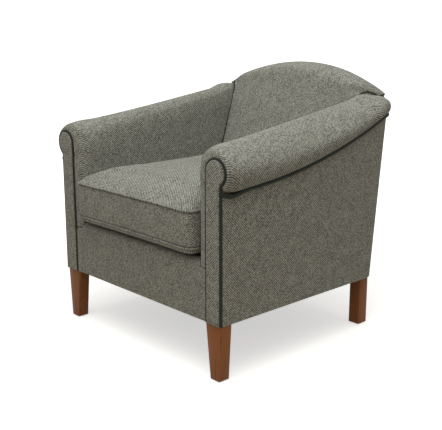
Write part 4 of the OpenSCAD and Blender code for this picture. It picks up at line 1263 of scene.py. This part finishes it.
@dataclass
class Seat:
    """Front border and seat deck under the loose cushion."""

    form: Form = FORM
    border_y: float = 5.0
    border_back: float = 37.0
    border_round: float = 14.0
    rail_y: float = 21.7
    deck_low: float = 291.8

    def border_ring(self, x: float, top: float, swell: float) -> list[Point]:
        """Closed section of the border at x, swelling forward between its edges."""
        f, r = self.form, self.border_round
        made = [(x, self.border_back, self.deck_low + 0.4), (x, self.border_back, top)]
        for i in range(7):
            a = math.radians(90 + 15 * i)
            made.append((x, self.border_y + r + r * math.cos(a), top - r + r * math.sin(a)))
        low = f.body_z
        for i in range(1, 13):
            t = i / 12
            bow = swell * math.sin(math.pi * min(1.0, t)) ** 0.7
            made.append((x, self.border_y - bow, lerp(top - r, low, t)))
        made += [(x, self.rail_y, low), (x, self.rail_y, self.deck_low + 0.4)]
        return made

    def border(self) -> bpy.types.Object:
        """The padded front border, lower where it passes under the arm fronts."""
        f = self.form
        half, low_top = 298.6, f.foot_z - f.touch
        stations = [(-half, low_top)] + [(-half + 6, low_top), (-f.side_x - 4, low_top)]
        stations += [(-f.side_x, f.deck_h - 6), (-f.side_x + 6, f.deck_h)]
        stations += [(lerp(-f.side_x + 6, f.side_x - 6, i / 16), f.deck_h) for i in range(1, 16)]
        stations += [(-x, top) for x, top in stations[:5]][::-1]
        rings = np.array([self.border_ring(x, top, 2.2 * (1 - (abs(x) / half) ** 6))
                          for x, top in stations])
        n, m = rings.shape[:2]
        faces = [list(range(m - 1, -1, -1)), [(n - 1) * m + j for j in range(m)]]
        faces += BENCH.ring_faces(n, m)
        around = arc(rings, 1)
        uvs = np.stack([rings[..., 0], around], -1).reshape(-1, 2) * MM
        piece = BENCH.add("front_border", rings.reshape(-1, 3), faces, uvs)
        return BENCH.finish(piece, TWEED_FLAT, "root", ["front_border_cover", "front_border_pad"], 0.8)

    def deck(self) -> bpy.types.Object:
        """The seat deck, softly rounded down at its edges."""
        f = self.form
        y0 = self.border_back + f.touch
        y1 = f.rear_y(f.deck_h) - f.panel_t - f.crest_t - 18.0
        xs = np.linspace(-f.side_x + 0.3, f.side_x - 0.3, 49)
        ys = np.linspace(y0, y1, 41)
        outer = np.zeros((len(xs), len(ys), 3))
        inner = np.zeros_like(outer)
        for i, x in enumerate(xs):
            for j, y in enumerate(ys):
                edge = min(abs(x - xs[0]), abs(x - xs[-1]), abs(y - y1), abs(y - y0) + 4)
                drop = 9.0 * (1 - smooth(edge / 34.0))
                dent = 1.4 * noise.noise(Vector((x / 90, y / 90, 3.0)))
                outer[i, j] = (x, y, f.deck_h - 0.6 - drop - abs(dent))
                inner[i, j] = (x, y, self.deck_low + 0.5)
        piece = BENCH.closed_grid("seat_deck", outer, inner)
        return BENCH.finish(piece, DECK, "root", ["seat_deck_cover", "seat_deck_pad"], 0.7)

    def build(self) -> None:
        """Makes every piece of the seat."""
        self.border()
        self.deck()


@dataclass
class Cushion:
    """The loose seat cushion with its self piping and zip."""

    form: Form = FORM
    half: float = 263.0
    deep: float = 283.55
    mid: float = 265.55
    corner: float = 28.0
    draw_in: float = 4.0
    seam_low: float = 351.3
    seam_high: float = 451.3
    crown: float = 48.0
    pressure: float = 4.0
    swell: float = 0.005
    belly: float = 31.0
    welt_r: float = 3.0
    # Radius of the near-black cord of painted shade beside each welt, and its gap from the welt.
    shade_line_r: float = 1.0
    shade_line_gap: float = 0.4
    voxel: float = 0.006
    tooth: tuple[float, float, float] = (0.0018, 0.0006, 0.005)
    tooth_step: float = 0.0026
    tooth_room: float = 0.004

    def plan(self, g: float, steps: int = 12, parts: int = 16) -> list[tuple[float, float]]:
        """Outline grown by g: round corners, sides drawn in between them, a straight rear."""
        made = []
        corners = ((1, 1), (-1, 1), (-1, -1), (1, -1))

        def at(q: int, a: float) -> np.ndarray:
            c = corners[q % 4]
            turn = math.radians(a)
            return np.array([c[0] * (self.half - self.corner) + (self.corner + g) * math.cos(turn),
                             c[1] * (self.deep - self.corner) + (self.corner + g) * math.sin(turn)])

        for q in range(4):
            made += [at(q, 90 * (q + i / steps)) for i in range(steps + 1)]
            a = math.radians(90 * (q + 1))
            pull = 0.0 if q == 0 else self.draw_in
            for i in range(1, parts):
                t = i / parts
                made.append(lerp(at(q, 90 * (q + 1)), at(q + 1, 90 * (q + 1)), t)
                            - pull * (1 - (2 * t - 1) ** 2) * np.array([math.cos(a), math.sin(a)]))
        return made

    def ring(self, g: float, share: float, z: float) -> np.ndarray:
        """The outline at height z, shrunk to a share about the middle."""
        return np.array([(x * share, self.mid + y * share, z) for x, y in self.plan(g)])

    def body(self) -> bpy.types.Object:
        """The filled cushion: panels that swell between seams that hold."""
        shares = [0.1, 0.25, 0.4, 0.55, 0.68, 0.78, 0.86, 0.92, 0.96, 0.985, 1.0]
        rise = [math.sqrt(max(0.0, 1 - s**4)) for s in shares]
        fall = [math.sqrt(max(0.0, 1 - s**8)) for s in shares]
        rings = [self.ring(0.0, s, self.seam_low - self.belly * k) for s, k in zip(shares, fall)]
        for k in range(1, 12):
            t = k / 12
            rings.append(self.ring(4.0 * t * (1 - t), 1.0, lerp(self.seam_low, self.seam_high, t)))
        rings += [self.ring(0.0, s, self.seam_high + self.crown * k)
                  for s, k in list(zip(shares, rise))[::-1]]
        stack = np.array(rings)
        n, m = stack.shape[:2]
        faces = [list(range(m - 1, -1, -1)), [(n - 1) * m + j for j in range(m)]]
        faces += BENCH.ring_faces(n, m)
        piece = BENCH.add("cushion_body", stack.reshape(-1, 3), faces)
        BENCH.apply(piece, "REMESH", mode="VOXEL", voxel_size=self.voxel)
        low, high = self.seam_low * MM, self.seam_high * MM
        floor = (self.seam_low - self.belly) * MM

        def held(p: Vector) -> float:
            seam = min(abs(p.z - low), abs(p.z - high))
            if p.z < floor + 0.003:
                return 1.0
            return 1.0 if seam < 0.003 and abs(p.x) > 0.2 or seam < 0.003 and abs(p.y) > 0.2 else 0.0

        BENCH.inflate(piece, self.pressure, self.swell, held)
        BENCH.apply(piece, "SUBSURF", levels=1, render_levels=1)
        self.lay_weave(piece)
        return BENCH.finish(piece, TWEED, "seat_cushion",
                            ["cushion_core", "cushion_top_panel", "cushion_bottom_panel",
                             "cushion_boxing"], 0.9, 180.0, False)

    def lay_weave(self, piece: bpy.types.Object) -> None:
        """Lays the weave flat on the panels and along the boxing."""
        mesh = piece.data
        layer = mesh.uv_layers.new(name=UV_NAME)
        low, high = self.seam_low * MM, self.seam_high * MM
        uvs = np.zeros((len(mesh.loops), 2))
        for face in mesh.polygons:
            middle = face.center
            boxed = low < middle.z < high
            normal = face.normal
            for index in face.loop_indices:
                p = mesh.vertices[mesh.loops[index].vertex_index].co
                if not boxed:
                    uvs[index] = (p.x, p.y)
                elif abs(normal.x) > abs(normal.y):
                    uvs[index] = (p.y, p.z)
                else:
                    uvs[index] = (p.x, p.z)
        layer.data.foreach_set("uv", uvs.ravel())

    def welt(self, name: str, z: float) -> bpy.types.Object:
        """Self piping along one seam."""
        line = self.ring(self.welt_r / 3, 1.0, z)
        piece = BENCH.tube(f"{name}_welt", spaced(line), self.welt_r, 10, True)
        return BENCH.finish(piece, WELT_CLOTH, "seat_cushion", [name])

    def seam_shade_lines(self, name: str, z: float) -> None:
        """A thin near-black cord between a welt and the boxing: painted shade for the shadow line along
        the seam.
        """
        line = self.ring(0.6, 1.0, z)
        BENCH.finish(BENCH.tube(name, spaced(line), self.shade_line_r, 6, True), SEAM_SHADE_CORD, "seat_cushion")

    def zip(self) -> None:
        """Zip teeth on the tape, and a bevelled slider block."""
        low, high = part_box("cushion_zip")
        mid_z, back = (low.z + high.z) / 2, high.y
        tooth = BENCH.block("zip_teeth", (low.x + self.tooth_room, back + self.tooth[1] / 2, mid_z),
                            self.tooth)
        BENCH.apply(tooth, "BEVEL", width=0.00025, segments=2)
        count = int((high.x - low.x - 2 * self.tooth_room) / self.tooth_step)
        BENCH.apply(tooth, "ARRAY", count=count, use_relative_offset=False,
                    use_constant_offset=True, constant_offset_displace=(self.tooth_step, 0.0, 0.0))
        self.settle(tooth)
        BENCH.finish(tooth, ZIP_METAL, "seat_cushion", recalc=False)
        a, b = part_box("cushion_zip_slider")
        slider = BENCH.block("zip_slider_body", (a + b) / 2, b - a)
        bpy.ops.object.mode_set(mode="EDIT")
        bpy.ops.mesh.select_all(action="SELECT")
        bpy.ops.mesh.bevel(offset=0.0007, segments=3)
        bpy.ops.object.mode_set(mode="OBJECT")
        self.settle(slider)
        BENCH.finish(slider, ZIP_METAL, "zip_slider", ["cushion_zip_slider"])

    @staticmethod
    def settle(piece: bpy.types.Object) -> None:
        """Puts a piece's place into its mesh."""
        BENCH.pick(piece)
        bpy.ops.object.transform_apply(location=True, rotation=True, scale=True)
        BENCH.clear()

    def build(self) -> None:
        """Makes every piece of the cushion."""
        self.body()
        self.welt("cushion_piping_top", self.seam_high)
        self.welt("cushion_piping_bottom", self.seam_low)
        # Near-black cords beside the welts: painted shade along the seams.
        self.seam_shade_lines("cushion_stitches_top", self.seam_high - self.welt_r - self.shade_line_gap)
        self.seam_shade_lines("cushion_stitches_bottom", self.seam_low + self.welt_r + self.shade_line_gap)
        self.zip()


@dataclass
class Legs:
    """Four wooden legs with softened edges."""

    foot_share: float = 35.0 / 62.0
    splay: float = 0.004
    bevel: float = 0.0022

    def leg(self, node: str, taper: float, splay: float) -> bpy.types.Object:
        """One leg that fills its CAD node's box.

        Args:
            node: the CAD leg.
            taper: width of the foot as a share of the top's.
            splay: how far the foot's middle stands towards +X, in metres.

        Returns:
            The new leg.
        """
        low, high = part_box(node)
        piece = BENCH.block(f"{node}_turned", (low + high) / 2, high - low)
        bpy.ops.object.transform_apply(location=True, rotation=True, scale=False)
        bpy.ops.object.mode_set(mode="EDIT")
        bpy.ops.mesh.select_all(action="SELECT")
        bpy.ops.mesh.bisect(plane_co=(0.0, 0.0, (low.z + high.z) / 2), plane_no=(0.0, 0.0, 1.0))
        bpy.ops.object.mode_set(mode="OBJECT")
        mid = (low.x + high.x) / 2
        for vertex in piece.data.vertices:
            share = (vertex.co.z - low.z) / (high.z - low.z)
            vertex.co.x = (mid + (vertex.co.x - mid) * (taper + (1 - taper) * share)
                           + splay * (1 - share))
        BENCH.apply(piece, "BEVEL", width=self.bevel, segments=3, limit_method="ANGLE",
                    angle_limit=math.radians(40))
        return BENCH.finish(piece, LEG_WOOD, "root", [node], angle=35.0)

    def build(self) -> None:
        """Makes the four legs."""
        for side in Side:
            self.leg(f"front_leg_{side.tag}", self.foot_share, side.value * self.splay)
            self.leg(f"back_leg_{side.tag}", 1.0, 0.0)


@dataclass
class Lining:
    """Thin cloths stretched over the frame: dust cover, hessian and back webbing."""

    form: Form = FORM
    front_cut: float = 293.0
    rear_cut: float = 295.0
    room: float = 3.0
    sag: float = 1.2
    strap_shares: tuple[float, ...] = (0.0, 0.5, 1.0)
    strap_w: float = 47.6
    strap_t: float = 1.5
    strap_back: float = 25.3

    def extent(self, node: str) -> tuple[np.ndarray, np.ndarray]:
        """A CAD node's lowest and highest corner, in the drawing's millimetres."""
        shift = np.array([0.0, self.form.mid_y, 0.0])
        low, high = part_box(node)
        return np.array(low) / MM + shift, np.array(high) / MM + shift

    def dust_cover(self) -> None:
        """The black cloth under the seat, cut out round the leg tops."""
        low, high = self.extent("dust_cover")
        front = self.extent("front_post_right")[1][1] + self.room
        rear = self.extent("back_post_right")[0][1] - self.room
        half = high[0]
        side = [-half, -self.rear_cut, -self.front_cut]
        xs = np.array(side + list(np.linspace(-self.front_cut, self.front_cut, 41)[1:-1])
                      + [-x for x in side[::-1]])
        ys = np.concatenate([np.linspace(low[1], front, 4), np.linspace(front, rear, 37)[1:],
                             np.linspace(rear, high[1], 4)[1:]])

        def kept(x: float, y: float) -> bool:
            return not (abs(x) > self.front_cut and y < front or abs(x) > self.rear_cut and y > rear)

        def height(x: float, y: float) -> float:
            u, v = x / half, 2 * (y - low[1]) / (high[1] - low[1]) - 1
            wave = 0.35 * noise.noise(Vector((x / 60, y / 60, 7.0)))
            return low[2] - (self.sag + wave) * (1 - u**2) * (1 - v**2)

        piece = BENCH.cut_sheet("dust_cloth", xs, ys, kept, height, high[2] - low[2],
                                lambda x, y, z: (x, y, z))
        BENCH.finish(piece, DUST, "root", ["dust_cover"])
        wide, long = (2 * half) * MM, (high[1] - low[1]) * MM
        cut = 2 * ((half - self.front_cut) * (front - low[1]) + (half - self.rear_cut) * (high[1] - rear))
        wide * long - cut * MM * MM

    def hessian(self) -> None:
        """The jute cloth over the springs, dimpled a little by them."""
        low, high = self.extent("seat_hessian")
        xs, ys = np.linspace(low[0], high[0], 49), np.linspace(low[1], high[1], 49)
        piece = BENCH.cut_sheet(
            "hessian_cloth", xs, ys, lambda x, y: True,
            lambda x, y: low[2] + 0.2 * abs(noise.noise(Vector((x / 45, y / 45, 2.0)))),
            high[2] - low[2] - 0.2, lambda x, y, z: (x, y, z))
        BENCH.finish(piece, HESSIAN, "root", ["seat_hessian"])

    def webbing(self) -> None:
        """Three straps across the back, each pulled tight."""
        f = self.form
        low, high = self.extent("back_webbing")
        for number, share in enumerate(self.strap_shares, 1):
            foot = lerp(low[2], high[2] - self.strap_w, share)
            piece = BENCH.cut_sheet(
                f"back_strap_{number}", np.linspace(low[0], high[0], 61),
                np.linspace(foot, foot + self.strap_w, 7), lambda x, z: True,
                lambda x, z: f.rear_y(z) - self.strap_back, self.strap_t, lambda x, z, y: (x, y, z))
            BENCH.finish(piece, WEBBING, "root", ["back_webbing"])

    def build(self) -> None:
        """Makes every lining."""
        self.dust_cover()
        self.hessian()
        self.webbing()


@dataclass
class Carcass:
    """The CAD nodes of the hidden frame, which keep their shape and get a finish."""

    finishes: tuple[tuple[Finish, tuple[str, ...]], ...] = (
        (UPRIGHT_WOOD, ("front_post_left", "front_post_right", "back_post_left", "back_post_right",
                        "scroll_board_left", "scroll_board_right", "corner_blocks")),
        (CROSS_WOOD, ("front_seat_rail", "back_seat_rail", "crest_rail", "back_tack_rail",
                      "frame_dowels")),
        (LONG_WOOD, ("side_seat_rail_left", "side_seat_rail_right", "arm_top_rail_left",
                     "arm_top_rail_right", "arm_tack_rail_left", "arm_tack_rail_right")),
        (STEEL, ("seat_springs", "spring_clips", "leg_bolts")),
        (BRASS, ("corner_block_screws",)),
        (FELT, ("leg_glides",)),
        (TAPE, ("cushion_zip",)),
    )

    def build(self) -> None:
        """Dresses every node that stays."""
        for finish, names in self.finishes:
            for name in names:
                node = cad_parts[name]
                node.data.materials.clear()
                node.data.materials.append(finish.material())
                LOG.info("%s dressed in %s", name, finish.name)


@dataclass
class Studio:
    """Camera, pale floor and soft light."""

    place: tuple[float, float, float] = (1.80606, -1.33903 - FORM.mid_y * MM, 0.94246)
    look: tuple[float, float, float] = (-0.71179, 0.66086, -0.23795)
    lens: float = 66.638
    sensor: float = 36.0
    lamp_size: float = 2.0
    lamps: tuple[tuple[str, Point, float, Point], ...] = (
        ("overhead", (0.3, -0.4, 2.2), 31.0, (0.97, 1.0, 0.98)),
        ("high_front", (0.0, -1.8, 3.4), 7.0, (0.97, 1.0, 1.0)),
        ("corner", (2.0, -2.4, 2.6), 15.0, (1.0, 0.95, 0.85)))

    def camera(self) -> None:
        """The camera at the photograph's angle."""
        data = bpy.data.cameras.new("camera")
        data.lens, data.sensor_width, data.sensor_fit = self.lens, self.sensor, "HORIZONTAL"
        camera = bpy.data.objects.new("camera", data)
        camera.location = self.place
        camera.rotation_mode = "QUATERNION"
        camera.rotation_quaternion = Vector(self.look).to_track_quat("-Z", "Y")
        bpy.context.scene.collection.objects.link(camera)
        bpy.context.scene.camera = camera

    def lamp(self, name: str, place: Point, watts: float, tint: Point) -> None:
        """One square lamp aimed at the chair's middle."""
        data = bpy.data.lights.new(name, "AREA")
        data.shape, data.size, data.energy, data.color = "SQUARE", self.lamp_size, watts, tint
        lamp = bpy.data.objects.new(name, data)
        lamp.location = place
        aim = Vector((0.0, 0.0, 0.4)) - Vector(place)
        lamp.rotation_mode = "QUATERNION"
        lamp.rotation_quaternion = aim.to_track_quat("-Z", "Y")
        bpy.context.scene.collection.objects.link(lamp)

    @staticmethod
    def seen(graph: Graph) -> Value:
        """1 on rays from the camera and through gloss or glass, else 0."""
        path = graph.node("ShaderNodeLightPath").socket.node
        parts = [Value(graph, path.outputs[n]) for n in
                 ("Is Camera Ray", "Is Glossy Ray", "Is Transmission Ray")]
        return parts[0].most(parts[1]).most(parts[2])

    def world(self, strength: float, tint: Point) -> None:
        """Soft even light, seen as white."""
        world = bpy.data.worlds.new("studio")
        world.use_nodes = True
        graph = Graph(world.node_tree)
        light = graph.node("ShaderNodeBackground", {}, {"Color": tint, "Strength": strength})
        white = graph.node("ShaderNodeBackground", {}, {"Color": (1.0, 1.0, 1.0), "Strength": 1.0})
        both = graph.node("ShaderNodeMixShader", {}, {0: self.seen(graph), 1: light, 2: white})
        graph.node("ShaderNodeOutputWorld", {}, {"Surface": both})
        bpy.context.scene.world = world

    def floor(self, shown: float, glow: float, bounced: Point) -> None:
        """A wide pale floor that is seen paler than it lights.

        Args:
            shown: how pale it is to the camera.
            glow: the least that the camera sees of it, in the deepest shadow by the chair.
            bounced: its colour for light that it throws back.
        """
        BENCH.clear()
        bpy.ops.mesh.primitive_plane_add(size=60.0, location=(0.0, 0.0, 0.0))
        floor = bpy.context.object
        floor.name = "floor"
        material = bpy.data.materials.new("pale_floor")
        material.use_nodes = True
        graph = Graph(material.node_tree)
        seen = self.seen(graph)
        x, y, _ = graph.split(graph.object_place())
        near, fade = 0.8, 1.2
        far = ((((x ** 2.0) + (y ** 2.0)) ** 0.5 - near) / fade).most(0.0).least(1.0)
        shine = graph.mix(far, (glow,) * 3, (1.0,) * 3)
        graph.surface(graph.mix(seen, bounced, (shown,) * 3), 1.0, Specular_IOR_Level=0.0,
                      Emission_Color=graph.mix(seen, (0.0,) * 3, shine), Emission_Strength=1.0)
        floor.data.materials.append(material)
        BENCH.clear()

    def build(self) -> None:
        """Makes the whole studio."""
        self.camera()
        self.floor(0.96, 0.55, (0.5, 0.45, 0.38))
        self.world(0.34, (1.0, 0.95, 0.87))
        for lamp in self.lamps:
            self.lamp(*lamp)
        bpy.context.scene.view_settings.view_transform = "Standard"


def main() -> None:
    """Builds the chair and the studio, and reports each piece."""
    logging.basicConfig(level=logging.INFO, format="%(name)s: %(message)s")
    BENCH.clear()
    Studio().build()
    Carcass().build()
    for side in Side:
        Arm(side).build()
    Back().build()
    Seat().build()
    Cushion().build()
    Legs().build()
    Lining().build()


if __name__ == "__main__":
    main()
